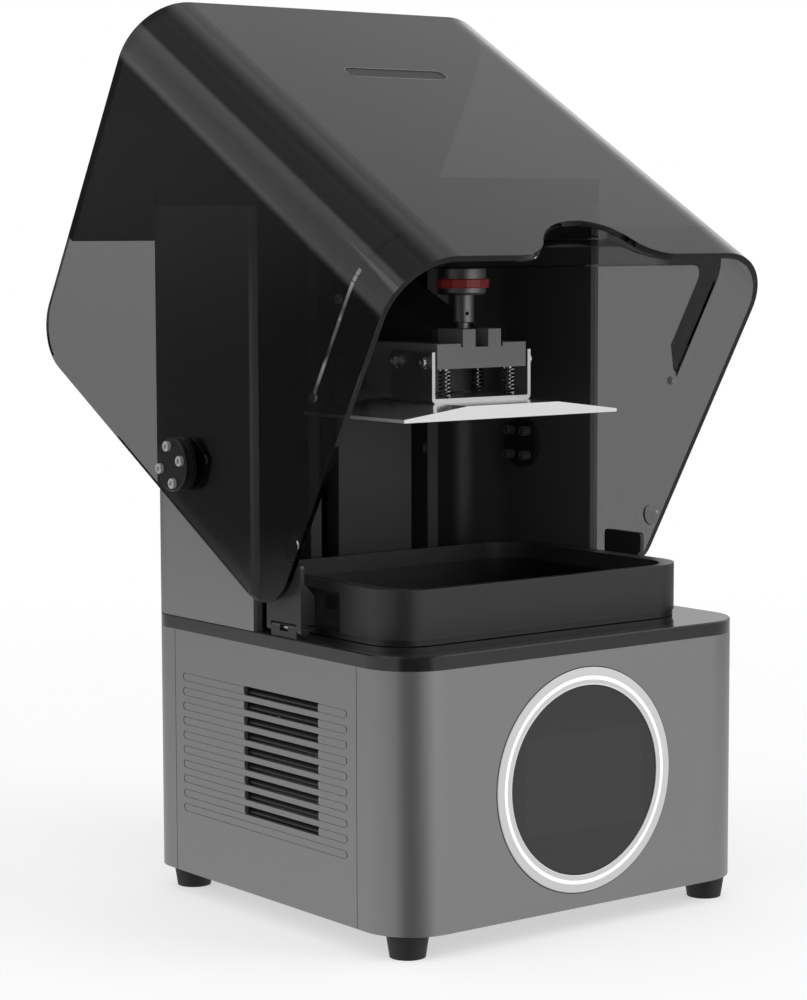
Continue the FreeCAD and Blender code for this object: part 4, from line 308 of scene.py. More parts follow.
def skin(name, colour, roughness, grain=1400.0, tone=0.06, rough_spread=0.08, bump=0.12, rubbed_and_highlight_colour=None, dust=0.0,
         coat=0.0, coat_roughness=0.1, specular=0.5, metallic=0.0):
    """A moulded or sprayed finish with optional dust and optional edge colour that is partly wear and partly
    a painted highlight.
    """
    made, nodes, shader = new_material(name)
    base = placed(nodes, MOULDED, Colour=colour, Roughness=roughness, Grain_scale=grain, Tone_spread=tone,
                  Roughness_spread=rough_spread)
    tint = base.outputs["Colour"]
    if rubbed_and_highlight_colour is not None:
        rubbed_and_highlight_mask = placed(nodes, RUBBED_AND_HIGHLIGHT_EDGES)
        tint = nodes.blend(rubbed_and_highlight_mask.outputs["Mask"], tint, rubbed_and_highlight_colour)
    if dust:
        tint = placed(nodes, DUST, Colour=tint, Amount=dust).outputs["Colour"]
    nodes.feed(shader, Base_Color=tint, Roughness=base.outputs["Roughness"], Specular_IOR_Level=specular,
               Coat_Weight=coat, Coat_Roughness=coat_roughness, Metallic=metallic)
    bumped(nodes, shader, base.outputs["Height"], bump, 0.05 * MM)
    return made


def metal(name, colour, roughness, stretch, tone=0.12, rough_spread=0.15, bump=0.08, rubbed_and_highlight_colour=None):
    """A bare metal with lines along one axis."""
    made, nodes, shader = new_material(name)
    base = placed(nodes, BRUSHED, Colour=colour, Roughness=roughness, Stretch=stretch, Tone_spread=tone,
                  Roughness_spread=rough_spread)
    tint = base.outputs["Colour"]
    # The edge colour is partly wear and partly a painted edge highlight.
    if rubbed_and_highlight_colour is not None:
        rubbed_and_highlight_mask = placed(nodes, RUBBED_AND_HIGHLIGHT_EDGES)
        tint = nodes.blend(rubbed_and_highlight_mask.outputs["Mask"], tint, rubbed_and_highlight_colour)
    nodes.feed(shader, Base_Color=tint, Roughness=base.outputs["Roughness"], Metallic=1.0)
    bumped(nodes, shader, base.outputs["Height"], bump, 0.02 * MM)
    return made


def facing(nodes, direction):
    """How far a surface of the piece faces one way."""
    turn = nodes.add("VectorMath", operation="DOT_PRODUCT")
    nodes.link(nodes.add("TexCoord").outputs["Normal"], turn.inputs[0])
    turn.inputs[1].default_value = direction
    return turn.outputs["Value"]


def placed_along(nodes, axis):
    """Where a point of the piece lies along X, Y or Z."""
    split = nodes.add("SeparateXYZ")
    nodes.link(nodes.place_on_part(), split.inputs[0])
    return split.outputs[axis]


def smoked(name, tint, roughness, painted_shade_ways=(), painted_edge_glow=0.0, index=1.49):
    """Clear sheet with handling smears, tinted shadows, cut faces darkened by painted shade, and edges that
    glow as a painted highlight.
    """
    made, nodes, shader = new_material(name)
    gloss = placed(nodes, SMUDGED, Roughness=roughness, Smear=0.03)
    colour = tint
    # Painted shade: faces turned these ways are darkened to near black.
    for way in painted_shade_ways:
        mask = nodes.spread(facing(nodes, way), 0.90, 0.97, 0.0, 1.0)
        colour = nodes.blend(mask, colour, shade(0.004))
    nodes.feed(shader, Base_Color=colour, Roughness=gloss.outputs["Roughness"], IOR=index)
    shader.inputs["Transmission Weight"].default_value = 1.0
    # Painted highlight: the sharp edges glow by emission.
    if painted_edge_glow:
        edge = placed(nodes, RUBBED_AND_HIGHLIGHT_EDGES, Width=0.7 * MM, Strength=1.0)
        nodes.feed(shader, Emission_Color=nodes.blend(edge.outputs["Mask"], shade(0.0), shade(painted_edge_glow)))
        shader.inputs["Emission Strength"].default_value = 1.0
    clear = nodes.add("BsdfTransparent")
    clear.inputs[0].default_value = tint
    choose = nodes.add("MixShader")
    nodes.link(nodes.add("LightPath").outputs["Is Shadow Ray"], choose.inputs[0])
    nodes.link(shader.outputs[0], choose.inputs[1])
    nodes.link(clear.outputs[0], choose.inputs[2])
    nodes.link(choose.outputs[0], made.node_tree.nodes["Material Output"].inputs[0])
    return made


BAFFLE_ARMS = 105.0 * MM
BAFFLE_ENDS = 151.0 * MM
BAFFLE_FADE = 15.0 * MM


def baffle_finish():
    """The hood's inner light baffle: smoked arms whose outer ends glow in patches as a painted highlight, and
    a clearer arch under the wave.
    """
    made = smoked("smoked_light_baffle", shade(0.22), 0.03, index=1.06)
    nodes = Nodes(made.node_tree)
    shader = made.node_tree.nodes["Principled BSDF"]
    aside = nodes.math("ABSOLUTE", placed_along(nodes, "X"))
    arms = nodes.spread(aside, BAFFLE_ARMS - BAFFLE_FADE, BAFFLE_ARMS, 0.0, 1.0)
    # Painted highlight: the outer end faces glow by emission, in patches.
    sideways = nodes.spread(nodes.math("ABSOLUTE", facing(nodes, (1.0, 0.0, 0.0))), 0.80, 0.95, 0.0, 1.0)
    glowing_end_faces = nodes.math("MULTIPLY", sideways, nodes.math("GREATER_THAN", aside, BAFFLE_ENDS))
    front = nodes.math("SUBTRACT", 1.0, nodes.add("NewGeometry").outputs["Backfacing"])
    glow_patches = nodes.spread(nodes.noise(nodes.place_on_part(), 40.0), 0.42, 0.6, 0.05, 0.5)
    painted_end_glow = nodes.math("MULTIPLY", nodes.math("MULTIPLY", glowing_end_faces, front), glow_patches)
    nodes.feed(shader, Base_Color=nodes.blend(arms, shade(0.50), shade(0.20)),
               Emission_Color=nodes.blend(painted_end_glow, shade(0.0), shade(1.0)))
    shader.inputs["Emission Strength"].default_value = 1.0
    return made


def glowing(made, colour, strength):
    """A finish that also gives light of its own."""
    shader = made.node_tree.nodes["Principled BSDF"]
    shader.inputs["Emission Color"].default_value = colour
    shader.inputs["Emission Strength"].default_value = strength
    return made


COLUMN_EDGE = 142.6 * MM


def liner_finish():
    """The column's liner: black inside, with painted light making its side-facing cheeks paler, and front
    edges in the column's grey.
    """
    made, nodes, shader = new_material("black_column_liner")
    base = placed(nodes, MOULDED, Colour=shade(0.020), Roughness=0.38, Grain_scale=1500.0, Tone_spread=0.25,
                  Roughness_spread=0.1)
    # Painted light: faces turned sideways are made paler than the back panel.
    painted_cheek_light = nodes.spread(nodes.math("ABSOLUTE", facing(nodes, (1.0, 0.0, 0.0))), 0.35, 0.95, 0.0, 1.0)
    colour = nodes.blend(painted_cheek_light, base.outputs["Colour"], shade(0.075))
    outside = nodes.math("GREATER_THAN", nodes.math("ABSOLUTE", placed_along(nodes, "X")), COLUMN_EDGE)
    edge = nodes.math("MULTIPLY", outside, nodes.spread(facing(nodes, (0.0, -1.0, 0.0)), 0.6, 0.9, 0.0, 1.0))
    colour = nodes.blend(edge, colour, shade(0.20))
    nodes.feed(shader, Base_Color=colour, Roughness=base.outputs["Roughness"],
               Metallic=nodes.math("MULTIPLY", edge, 0.7))
    bumped(nodes, shader, base.outputs["Height"], 0.15, 0.05 * MM)
    return made


VAT_SHADE_DEPTH = 11.0 * MM
VAT_SHADE_FADE = 0.6 * MM


def vat_finish():
    """Black anodised tray with painted shade inside, darker and rougher below a line under its rim."""
    made, nodes, shader = new_material("black_anodised_vat")
    base = placed(nodes, MOULDED, Colour=shade(0.025), Roughness=0.36, Grain_scale=2600.0, Tone_spread=0.3,
                  Roughness_spread=0.1)
    # The rim's edge colour is partly wear and partly a painted highlight.
    rubbed_and_highlight_mask = placed(nodes, RUBBED_AND_HIGHLIGHT_EDGES, Strength=0.8)
    colour = nodes.blend(rubbed_and_highlight_mask.outputs["Mask"], base.outputs["Colour"], shade(0.10))
    low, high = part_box("vat_body")
    middle = (low + high) / 2
    outward = 0.0
    for axis, direction, centre in (("X", (1.0, 0.0, 0.0), middle.x), ("Y", (0.0, 1.0, 0.0), middle.y)):
        offset = nodes.math("SUBTRACT", placed_along(nodes, axis), centre)
        outward = nodes.math("ADD", outward, nodes.math("MULTIPLY", offset, facing(nodes, direction)))
    # Painted shade: inner faces below the line are darkened to near black.
    inside = nodes.math("LESS_THAN", outward, -1.0 * MM)
    line = high.z - VAT_SHADE_DEPTH
    below = nodes.spread(placed_along(nodes, "Z"), line - VAT_SHADE_FADE, line, 1.0, 0.0)
    painted_inner_shade = nodes.math("MULTIPLY", inside, below)
    colour = nodes.blend(painted_inner_shade, colour, shade(0.002))
    rough = nodes.math("ADD", base.outputs["Roughness"], nodes.math("MULTIPLY", painted_inner_shade, 0.25))
    nodes.feed(shader, Base_Color=colour, Roughness=rough)
    bumped(nodes, shader, base.outputs["Height"], 0.12, 0.05 * MM)
    return made


def plate_finish():
    """Build plate: blasted on its face and bevels, ground smooth on top, where its colour is darkened by
    painted shade.
    """
    made, nodes, shader = new_material("blasted_and_ground_plate")
    base = placed(nodes, BRUSHED, Colour=shade(0.92), Roughness=0.45, Stretch=BLASTED, Tone_spread=0.06,
                  Roughness_spread=0.1)
    # Painted shade: the top's colour is darkened; its lower roughness is the real grind.
    top = nodes.spread(facing(nodes, (0.0, 0.0, 1.0)), 0.7, 0.95, 0.0, 1.0)
    colour = nodes.blend(top, base.outputs["Colour"], shade(0.42))
    rough = nodes.math("SUBTRACT", base.outputs["Roughness"], nodes.math("MULTIPLY", top, 0.25))
    nodes.feed(shader, Base_Color=colour, Roughness=rough, Metallic=0.65)
    bumped(nodes, shader, base.outputs["Height"], 0.1, 0.02 * MM)
    return made


DISPLAY_HALF_WIDTH = 50.5 * MM
DISPLAY_HALF_HEIGHT = 32.0 * MM


def screen_glass_finish():
    """Dark round glass with the display's faint oblong behind it."""
    made, nodes, shader = new_material("dark_screen_glass")
    base = placed(nodes, MOULDED, Colour=shade(0.032), Roughness=0.16, Grain_scale=1200.0, Tone_spread=0.06,
                  Roughness_spread=0.03)
    low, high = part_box("touch_glass")
    across = nodes.math("LESS_THAN", nodes.math("ABSOLUTE", placed_along(nodes, "X")), DISPLAY_HALF_WIDTH)
    level = nodes.math("SUBTRACT", placed_along(nodes, "Z"), (low.z + high.z) / 2)
    upright = nodes.math("LESS_THAN", nodes.math("ABSOLUTE", level), DISPLAY_HALF_HEIGHT)
    oblong = nodes.math("MULTIPLY", across, upright)
    colour = nodes.blend(oblong, base.outputs["Colour"], shade(0.037))
    smear = placed(nodes, SMUDGED, Roughness=0.14, Smear=0.08)
    nodes.feed(shader, Base_Color=colour, Roughness=smear.outputs["Roughness"])
    return made


HOOD_OPEN = math.radians(59.78)
HOOD_DOWN = (0.0, -math.sin(HOOD_OPEN), -math.cos(HOOD_OPEN))
HOOD_BACK = (0.0, math.cos(HOOD_OPEN), -math.sin(HOOD_OPEN))
HOOD_PAINTED_SHADE_FACES = (HOOD_DOWN, HOOD_BACK)
ALONG_X = (60.0, 2600.0, 2600.0)
AROUND_Z = (40.0, 40.0, 6000.0)
BLASTED = (2600.0, 2600.0, 2600.0)

# The worn-edge colours below paint edge wear together with bright painted edge highlights.
FINISHES = {
    "base_grey": skin("grey_satin_paint", shade(0.295), 0.34, 1800.0, 0.05, 0.06, 0.10, rubbed_and_highlight_colour=shade(0.45),
                      dust=0.02, metallic=0.72),
    "deck_gloss": skin("black_gloss_deck", shade(0.016), 0.12, 900.0, 0.2, 0.05, 0.03, rubbed_and_highlight_colour=shade(0.07),
                       dust=0.01, coat=0.15, coat_roughness=0.05),
    "column_black": skin("black_satin_column", shade(0.024), 0.36, 1500.0, 0.25, 0.1, 0.15, rubbed_and_highlight_colour=shade(0.06)),
    "vat_black": skin("black_anodised_frame", shade(0.014), 0.36, 2600.0, 0.3, 0.1, 0.12, rubbed_and_highlight_colour=shade(0.06)),
    "smoked_clear": smoked("smoked_clear_sheet", shade(0.15), 0.02, HOOD_PAINTED_SHADE_FACES, 0.008, 1.33),
    "badge_black": skin("bare_badge_plate", shade(0.040), 0.5, 1800.0, 0.2, 0.05, 0.05, rubbed_and_highlight_colour=shade(0.10),
                        specular=0.2),
    "black_plastic": skin("black_moulded_plastic", shade(0.014), 0.45, 1600.0, 0.25, 0.1, 0.2,
                          rubbed_and_highlight_colour=shade(0.05)),
    "board_plastic": skin("green_board", (0.012, 0.07, 0.03, 1.0), 0.4, 500.0, 0.5, 0.1, 0.3),
    "bezel_white": skin("white_bezel", shade(0.85), 0.35, 1500.0, 0.04, 0.05, 0.06, rubbed_and_highlight_colour=shade(0.95)),
    "lamp_white": glowing(skin("light_ring_diffuser", shade(0.85), 0.5, 2200.0, 0.03, 0.05, 0.05),
                          shade(1.0), 0.55),
    "dark_glass": screen_glass_finish(),
    "clear_film": smoked("clear_release_film", shade(0.85), 0.08),
    "foot_rubber": skin("black_rubber_foot", shade(0.012), 0.6, 1200.0, 0.4, 0.1, 0.3, rubbed_and_highlight_colour=shade(0.03)),
    "seal_rubber": skin("black_seal_rubber", shade(0.010), 0.7, 1800.0, 0.3, 0.1, 0.3),
    "bare_aluminium": metal("bare_aluminium", shade(0.62), 0.30, ALONG_X),
    "bead_blasted": metal("bead_blasted_aluminium", shade(0.80), 0.45, BLASTED, 0.06, 0.1, 0.1),
    "steel": metal("ground_steel", shade(0.50), 0.25, AROUND_Z),
    "nut_brass": metal("turned_brass", (0.62, 0.42, 0.16, 1.0), 0.28, AROUND_Z),
    "band_red": skin("red_band", (0.30, 0.020, 0.022, 1.0), 0.35, 1500.0, 0.1, 0.1, 0.1),
}

# Their worn-edge colours also paint bright edge highlights.
BLACK_OXIDE = skin("black_oxide_steel", shade(0.030), 0.40, 2200.0, 0.3, 0.1, 0.1, rubbed_and_highlight_colour=shade(0.20),
                   metallic=0.3)
BLACK_ANODISED = skin("black_anodised_plate", shade(0.012), 0.5, 2200.0, 0.3, 0.1, 0.1, rubbed_and_highlight_colour=shade(0.05))
DARK_SCREW = skin("dark_plated_screw", shade(0.16), 0.34, 2400.0, 0.2, 0.1, 0.05, rubbed_and_highlight_colour=shade(0.40),
                  metallic=0.6)
NICKEL = skin("nickel_plated_screw", shade(0.62), 0.28, 2600.0, 0.1, 0.1, 0.05, rubbed_and_highlight_colour=shade(0.75),
              metallic=0.55)
BRIGHT_SCREW = metal("bright_steel_screw", shade(0.62), 0.24, BLASTED, rubbed_and_highlight_colour=shade(0.8))
SPRING_STEEL = metal("spring_wire", shade(0.34), 0.24, BLASTED, 0.15, 0.2, 0.1)
NODE_FINISHES = {
    "channel_cover": liner_finish(),
    "vat_body": vat_finish(),
    "build_plate": plate_finish(),
    "head_block": skin("grey_blasted_head", shade(0.21), 0.5, 2400.0, 0.08, 0.08, 0.1, rubbed_and_highlight_colour=shade(0.26),
                       metallic=0.3),
    "clamp_knob": metal("gunmetal_knob", shade(0.22), 0.42, AROUND_Z, rubbed_and_highlight_colour=shade(0.4)),
    "light_baffle": baffle_finish(),
    "hub_discs": skin("black_hub", shade(0.006), 0.32, 1800.0, 0.2, 0.1, 0.05, rubbed_and_highlight_colour=shade(0.16),
                      specular=0.3),
    "hinge_pins": BLACK_OXIDE,
    "back_plate": BLACK_ANODISED,
    "carriage": BLACK_ANODISED,
    "lift_rails": BLACK_OXIDE,
    "rail_blocks": BLACK_OXIDE,
}


def dress_nodes():
    """Every CAD node takes its own finish, or else the one of its slot in the record."""
    for entry in frame["record"]["subparts"]:
        thing = frame["nodes"][entry["node"]]
        thing.data.materials.clear()
        thing.data.materials.append(NODE_FINISHES.get(entry["node"], FINISHES[entry["material_slot"]]))


# Softened edges of the solids

EDGE_ROUND = 0.35 * MM
EDGE_FROM = math.radians(35.0)
FLAT_WITHIN = math.radians(0.5)
UNTOUCHED = ("plate_springs",)


def soften_edges():
    """Merge the flat facets of each solid and round its edges a little, as tools and moulds leave them."""
    for name, thing in frame["nodes"].items():
        if name in UNTOUCHED:
            continue
        flat = thing.modifiers.new("merge_flats", "DECIMATE")
        flat.decimate_type = "DISSOLVE"
        flat.angle_limit = FLAT_WITHIN
        rounding = thing.modifiers.new("round_edges", "BEVEL")
        rounding.width = EDGE_ROUND
        rounding.segments = 2
        rounding.limit_method = "ANGLE"
        rounding.angle_limit = EDGE_FROM
        rounding.harden_normals = True


# Pieces in place of plain solids

def new_piece(name, shape, body, slot, finish, *solids, smooth=True):
    """Points and faces as a piece that rides a body, takes a finish and stands in for solids."""
    mesh = mesh_of(name, *shape, smooth)
    piece = bpy.data.objects.new(name, mesh)
    bpy.context.scene.collection.objects.link(piece)
    mesh.materials.append(finish)
    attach(piece, body)
    if solids:
        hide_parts(*solids)
    return piece


SHARP_FROM = math.radians(40.0)


def mesh_of(name, points, faces, smooth):
    mesh = bpy.data.meshes.new(name)
    mesh.from_pydata(points, [], faces)
    mesh.validate()
    shape = bmesh.new()
    shape.from_mesh(mesh)
    bmesh.ops.recalc_face_normals(shape, faces=shape.faces)
    shape.to_mesh(mesh)
    shape.free()
    if smooth:
        mesh.shade_smooth()
        mesh.set_sharp_from_angle(angle=SHARP_FROM)
    mesh.update()
    return mesh


def skin_rings(rings):
    """Faces between rings of equal count, and one face over each end."""
    count = len(rings[0])
    points = [point for ring in rings for point in ring]
    faces = []
    for level in range(len(rings) - 1):
        low, high = level * count, (level + 1) * count
        for step in range(count):
            after = (step + 1) % count
            faces.append((low + step, low + after, high + after, high + step))
    faces.append(tuple(reversed(range(count))))
    faces.append(tuple(range((len(rings) - 1) * count, len(rings) * count)))
    return points, faces


def gathered(parts):
    """Several point and face lists as one."""
    points, faces = [], []
    for some_points, some_faces in parts:
        start = len(points)
        points += some_points
        faces += [tuple(start + index for index in face) for face in some_faces]
    return points, faces


# Springs: closed and ground ends, and a guide pin inside each
SPRING_RADIUS = 3.8 * MM
SPRING_WIRE = 1.5 * MM
SPRING_TURNS = 6.0
SPRING_END_TURNS = 0.75
SPRING_LOW = 342.3 * MM
SPRING_HIGH = 361.6 * MM
SPRING_PLACES = ((-27.5, -33.5), (-27.5, 0.5), (27.5, -33.5), (27.5, 0.5))
STEPS_PER_TURN = 28
WIRE_SIDES = 12
GROUND_OFF = 0.22 * SPRING_WIRE
PIN_SIDES = 20
PIN_TIP = 345.0 * MM
PIN_COLLAR = 359.4 * MM
PIN_TOP = 361.7 * MM
PIN_PROFILE = ((1.2 * MM, PIN_TIP), (1.7 * MM, PIN_TIP + 0.6 * MM), (1.7 * MM, PIN_COLLAR),
               (2.4 * MM, PIN_COLLAR + 0.1 * MM), (2.4 * MM, PIN_TOP))


def coil(place_x, place_y):
    """One coil of wire: close turns at both ends, ground flat, and open turns between."""
    height = SPRING_HIGH - SPRING_LOW
    turns = SPRING_TURNS + 2 * SPRING_END_TURNS
    open_pitch = (height - SPRING_WIRE * (1 + 2 * SPRING_END_TURNS)) / SPRING_TURNS
    steps = int(turns * STEPS_PER_TURN)
    rings = []
    for step in range(steps + 1):
        turn = turns * step / steps
        low_turn = min(turn, SPRING_END_TURNS)
        high_turn = max(turn - SPRING_END_TURNS - SPRING_TURNS, 0.0)
        open_turn = turn - low_turn - high_turn
        level = SPRING_WIRE / 2 + (low_turn + high_turn) * SPRING_WIRE + open_turn * open_pitch
        angle = 2 * math.pi * turn
        outward = Vector((math.cos(angle), math.sin(angle), 0.0))
        ring = []
        for side in range(WIRE_SIDES):
            around = 2 * math.pi * side / WIRE_SIDES
            spot = outward * (SPRING_RADIUS + SPRING_WIRE / 2 * math.cos(around))
            lift = level + SPRING_WIRE / 2 * math.sin(around)
            lift = min(max(lift, GROUND_OFF), height - GROUND_OFF)
            ring.append((place_x + spot.x, place_y + spot.y, SPRING_LOW + lift))
        rings.append(ring)
    return skin_rings(rings)


def turned_profile(profile, place_x, place_y, sides):
    """A body of revolution about an upright axis from (radius, height) pairs."""
    rings = []
    for radius, level in profile:
        ring = []
        for side in range(sides):
            angle = 2 * math.pi * side / sides
            ring.append((place_x + radius * math.cos(angle), place_y + radius * math.sin(angle), level))
        rings.append(ring)
    return skin_rings(rings)


def build_plate_springs():
    """Coiled springs, each round a fixed guide pin."""
    coils = [coil(x * MM, y * MM) for x, y in SPRING_PLACES]
    springs = new_piece("wound_springs", gathered(coils), "head", "steel", SPRING_STEEL, "plate_springs")
    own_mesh(springs)
    pins = [turned_profile(PIN_PROFILE, x * MM, y * MM, PIN_SIDES) for x, y in SPRING_PLACES]
    new_piece("spring_guide_pins", gathered(pins), "head", "steel", FINISHES["steel"], smooth=False)


# Socket cap screws in place of the plain heads
SCREW_SIDES = 48
SCREW_CHAMFER = 0.45 * MM
KNURL = 0.035
SOCKET_RADIUS = 1.9 * MM
SOCKET_DEPTH = 1.7 * MM
SOCKET_FLARE = 1.08
SOCKET_FLARE_DEPTH = 0.2 * MM
SHANK_RADIUS = 2.0 * MM
SAME_CORNER = 0.001 * MM


def loose_boxes(node):
    """The lowest and highest corners of each separate solid in a node."""
    shape = bmesh.new()
    shape.from_mesh(frame["nodes"][node].data)
    bmesh.ops.remove_doubles(shape, verts=shape.verts, dist=SAME_CORNER)
    waiting = set(shape.verts)
    boxes = []
    while waiting:
        front = [waiting.pop()]
        solid = []
        while front:
            corner = front.pop()
            solid.append(corner.co.copy())
            for edge in corner.link_edges:
                other = edge.other_vert(corner)
                if other in waiting:
                    waiting.remove(other)
                    front.append(other)
        boxes.append(tuple(Vector(pick(spot[axis] for spot in solid) for axis in range(3))
                           for pick in (min, max)))
    shape.free()
    return sorted(boxes, key=lambda pair: tuple(pair[0]))


def hexagon(angle):
    """How far out a hexagon's side lies at an angle, for a hexagon of corner radius one."""
    flat = math.pi / 3
    return math.cos(flat / 2) / math.cos(angle % flat - flat / 2)


def cap_screw(low, high, way, head_height, socket_radius=SOCKET_RADIUS):
    """A knurled cap head with a hexagon socket and, where the solid is longer, its shank, along X."""
    middle = (low + high) / 2
    radius = (high.y - low.y) / 2
    tip = high.x if way > 0 else low.x
    start = low.x if way > 0 else high.x
    seat = tip - way * head_height
    levels = []
    if abs(seat - start) > SCREW_CHAMFER:
        levels += [(start, SHANK_RADIUS, 0.0, False), (seat, SHANK_RADIUS, 0.0, False)]
    levels += [
        (seat, radius - SCREW_CHAMFER / 2, 0.0, False),
        (seat + way * SCREW_CHAMFER / 2, radius, KNURL, False),
        (tip - way * SCREW_CHAMFER, radius, KNURL, False),
        (tip, radius - SCREW_CHAMFER, 0.0, False),
        (tip, socket_radius * SOCKET_FLARE, 0.0, True),
        (tip - way * SOCKET_FLARE_DEPTH, socket_radius, 0.0, True),
        (tip - way * SOCKET_DEPTH, socket_radius, 0.0, True)]
    rings = []
    for level, size, knurl, socket in levels:
        ring = []
        for side in range(SCREW_SIDES):
            angle = 2 * math.pi * side / SCREW_SIDES
            out = size * (1.0 - knurl * (side % 2)) * (hexagon(angle) if socket else 1.0)
            ring.append((level, middle.y + out * math.cos(angle), middle.z + out * math.sin(angle)))
        rings.append(ring)
    return skin_rings(rings)


def build_cap_screws():
    """Screws on the hubs and the head face outward, and those on the hinge flanges face into the column."""
    sets = (("hub_screws", "socket_screws_hub", "hood", 3.0 * MM, 1, NICKEL),
            ("hinge_screws", "socket_screws_hinge", "base", 7.0 * MM, -1, DARK_SCREW),
            ("side_screws", "socket_screws_head", "head", 4.0 * MM, 1, BRIGHT_SCREW))
    for node, name, body, head_height, side, finish in sets:
        screws = []
        for low, high in loose_boxes(node):
            way = side if low.x + high.x > 0 else -side
            screws.append(cap_screw(low, high, way, head_height))
        new_piece(name, gathered(screws), body, "steel", finish, node, smooth=False)


BAFFLE_SCREW_PLACES = ((-1, -86.8, 411.0), (-1, -59.8, 348.6), (1, -59.8, 348.6))
BAFFLE_SCREW_RADIUS = 2.9 * MM
BAFFLE_SCREW_HEAD = 2.4 * MM
BAFFLE_SCREW_SOCKET = 1.8 * MM
BAFFLE_SCREW_GAP = 0.1 * MM


def build_baffle_screws():
    """Small screws inside the hood's side walls, with sockets that show through the wall."""
    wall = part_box("light_baffle")[1].x
    screws = []
    for side, y, z in BAFFLE_SCREW_PLACES:
        tip = side * (wall - BAFFLE_SCREW_GAP)
        seat = tip - side * BAFFLE_SCREW_HEAD
        reach = Vector((0.0, BAFFLE_SCREW_RADIUS, BAFFLE_SCREW_RADIUS))
        near = Vector((min(seat, tip), y * MM, z * MM)) - reach
        far = Vector((max(seat, tip), y * MM, z * MM)) + reach
        screws.append(cap_screw(near, far, side, BAFFLE_SCREW_HEAD, BAFFLE_SCREW_SOCKET))
    new_piece("baffle_screws", gathered(screws), "hood", "steel", NICKEL, smooth=False)


REAR_SCREW_RADIUS = 3.2 * MM
REAR_SCREW_HEAD = 1.7 * MM
REAR_SCREW_SOCKET = 1.5 * MM
REAR_PANEL_SCREWS = ((-118.0, 28.0), (118.0, 28.0), (-118.0, 170.0), (0.0, 170.0), (118.0, 170.0))
COLUMN_BACK_SCREWS = tuple((x, z) for z in (206.0, 330.0, 456.0) for x in (-112.0, 112.0))


def build_rear_screws():
    """Button head screws that hold the rear panel and the column's back."""
    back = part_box("rear_panel")[1].y
    screws = []
    for x, z in REAR_PANEL_SCREWS + COLUMN_BACK_SCREWS:
        near = Vector((back, x * MM - REAR_SCREW_RADIUS, z * MM - REAR_SCREW_RADIUS))
        far = Vector((back + REAR_SCREW_HEAD, x * MM + REAR_SCREW_RADIUS, z * MM + REAR_SCREW_RADIUS))
        points, faces = cap_screw(near, far, 1, REAR_SCREW_HEAD, REAR_SCREW_SOCKET)
        screws.append(([(across, deep, level) for deep, across, level in points], faces))
    new_piece("rear_screws", gathered(screws), "base", "steel", BLACK_OXIDE, smooth=False)


# Magnet plugs in the hood's lower corners
PLUG_SIDES = 48
PLUG_GAP = 0.25 * MM
PLUG_ROUND = 0.5 * MM


def build_magnet_plugs():
    """Clear plugs with round rims over the hood's closing magnets."""
    plugs = []
    for low, high in loose_boxes("hood_magnets"):
        middle = (low + high) / 2
        radius = (high.y - low.y) / 2 - PLUG_GAP
        near, far = low.x + PLUG_GAP, high.x - PLUG_GAP
        rings = []
        for level, size in ((near, radius - PLUG_ROUND), (near + PLUG_ROUND / 2, radius),
                            (far - PLUG_ROUND / 2, radius), (far, radius - PLUG_ROUND)):
            ring = []
            for side in range(PLUG_SIDES):
                angle = 2 * math.pi * side / PLUG_SIDES
                ring.append((level, middle.y + size * math.cos(angle), middle.z + size * math.sin(angle)))
            rings.append(ring)
        plugs.append(skin_rings(rings))
    new_piece("magnet_plugs", gathered(plugs), "hood", "smoked_clear",
              smoked("clear_magnet_plug", shade(0.90), 0.03, index=1.05), "hood_magnets")


# Beads: a small section carried round a closed path
def bead(path, section):
    """Points and faces of a section of (out, lift) pairs carried round a path of (point, outward, lift)."""
    count = len(section)
    points, faces = [], []
    for spot, outward, lift in path:
        points += [tuple(spot + outward * out + lift * rise) for out, rise in section]
    for step in range(len(path)):
        here, there = step * count, (step + 1) % len(path) * count
        for side in range(count):
            after = (side + 1) % count
            faces.append((here + side, here + after, there + after, there + side))
    return points, faces


def round_section(half_width, height, steps=8):
    """A section that is flat below and crowned above."""
    crown = []
    for step in range(steps + 1):
        angle = math.pi * step / steps
        crown.append((half_width * math.cos(angle), height * math.sin(angle)))
    return crown


ACROSS = Vector((1.0, 0.0, 0.0))
FORWARD = Vector((0.0, -1.0, 0.0))
UPWARD = Vector((0.0, 0.0, 1.0))
SCREEN_SIDES = 192
SHADOW_LINE_HALF = 0.30 * MM
SHADOW_LINE_RISE = 0.20 * MM
BEZEL_PROUD = 0.8 * MM
BEZEL_CLEAR = 0.5 * MM
BEZEL_CHAMFER = 0.4 * MM
BEZEL_LIP = 1.1 * MM
LIT_STRIP_FROM_RIM = 5.6 * MM
LIT_STRIP_WIDTH = 2.4 * MM
LIT_STRIP_GROOVE = 1.4 * MM
LIT_STRIP_SUNK = 0.1 * MM
LIT_STRIP_CROWN = 0.3 * MM
INNER_BEAD_HALF = 0.5 * MM
INNER_BEAD_RISE = 0.15 * MM
GLASS_RADIUS = 62.0 * MM
GLASS_SUNK = 0.7 * MM
GLASS_THICKNESS = 0.9 * MM
GLASS_EDGE = 0.3 * MM


def screen_circle(centre, radius):
    """A path round the screen's axis."""
    path = []
    for step in range(SCREEN_SIDES):
        angle = 2 * math.pi * step / SCREEN_SIDES
        outward = ACROSS * math.cos(angle) + UPWARD * math.sin(angle)
        path.append((centre + outward * radius, outward, FORWARD))
    return path


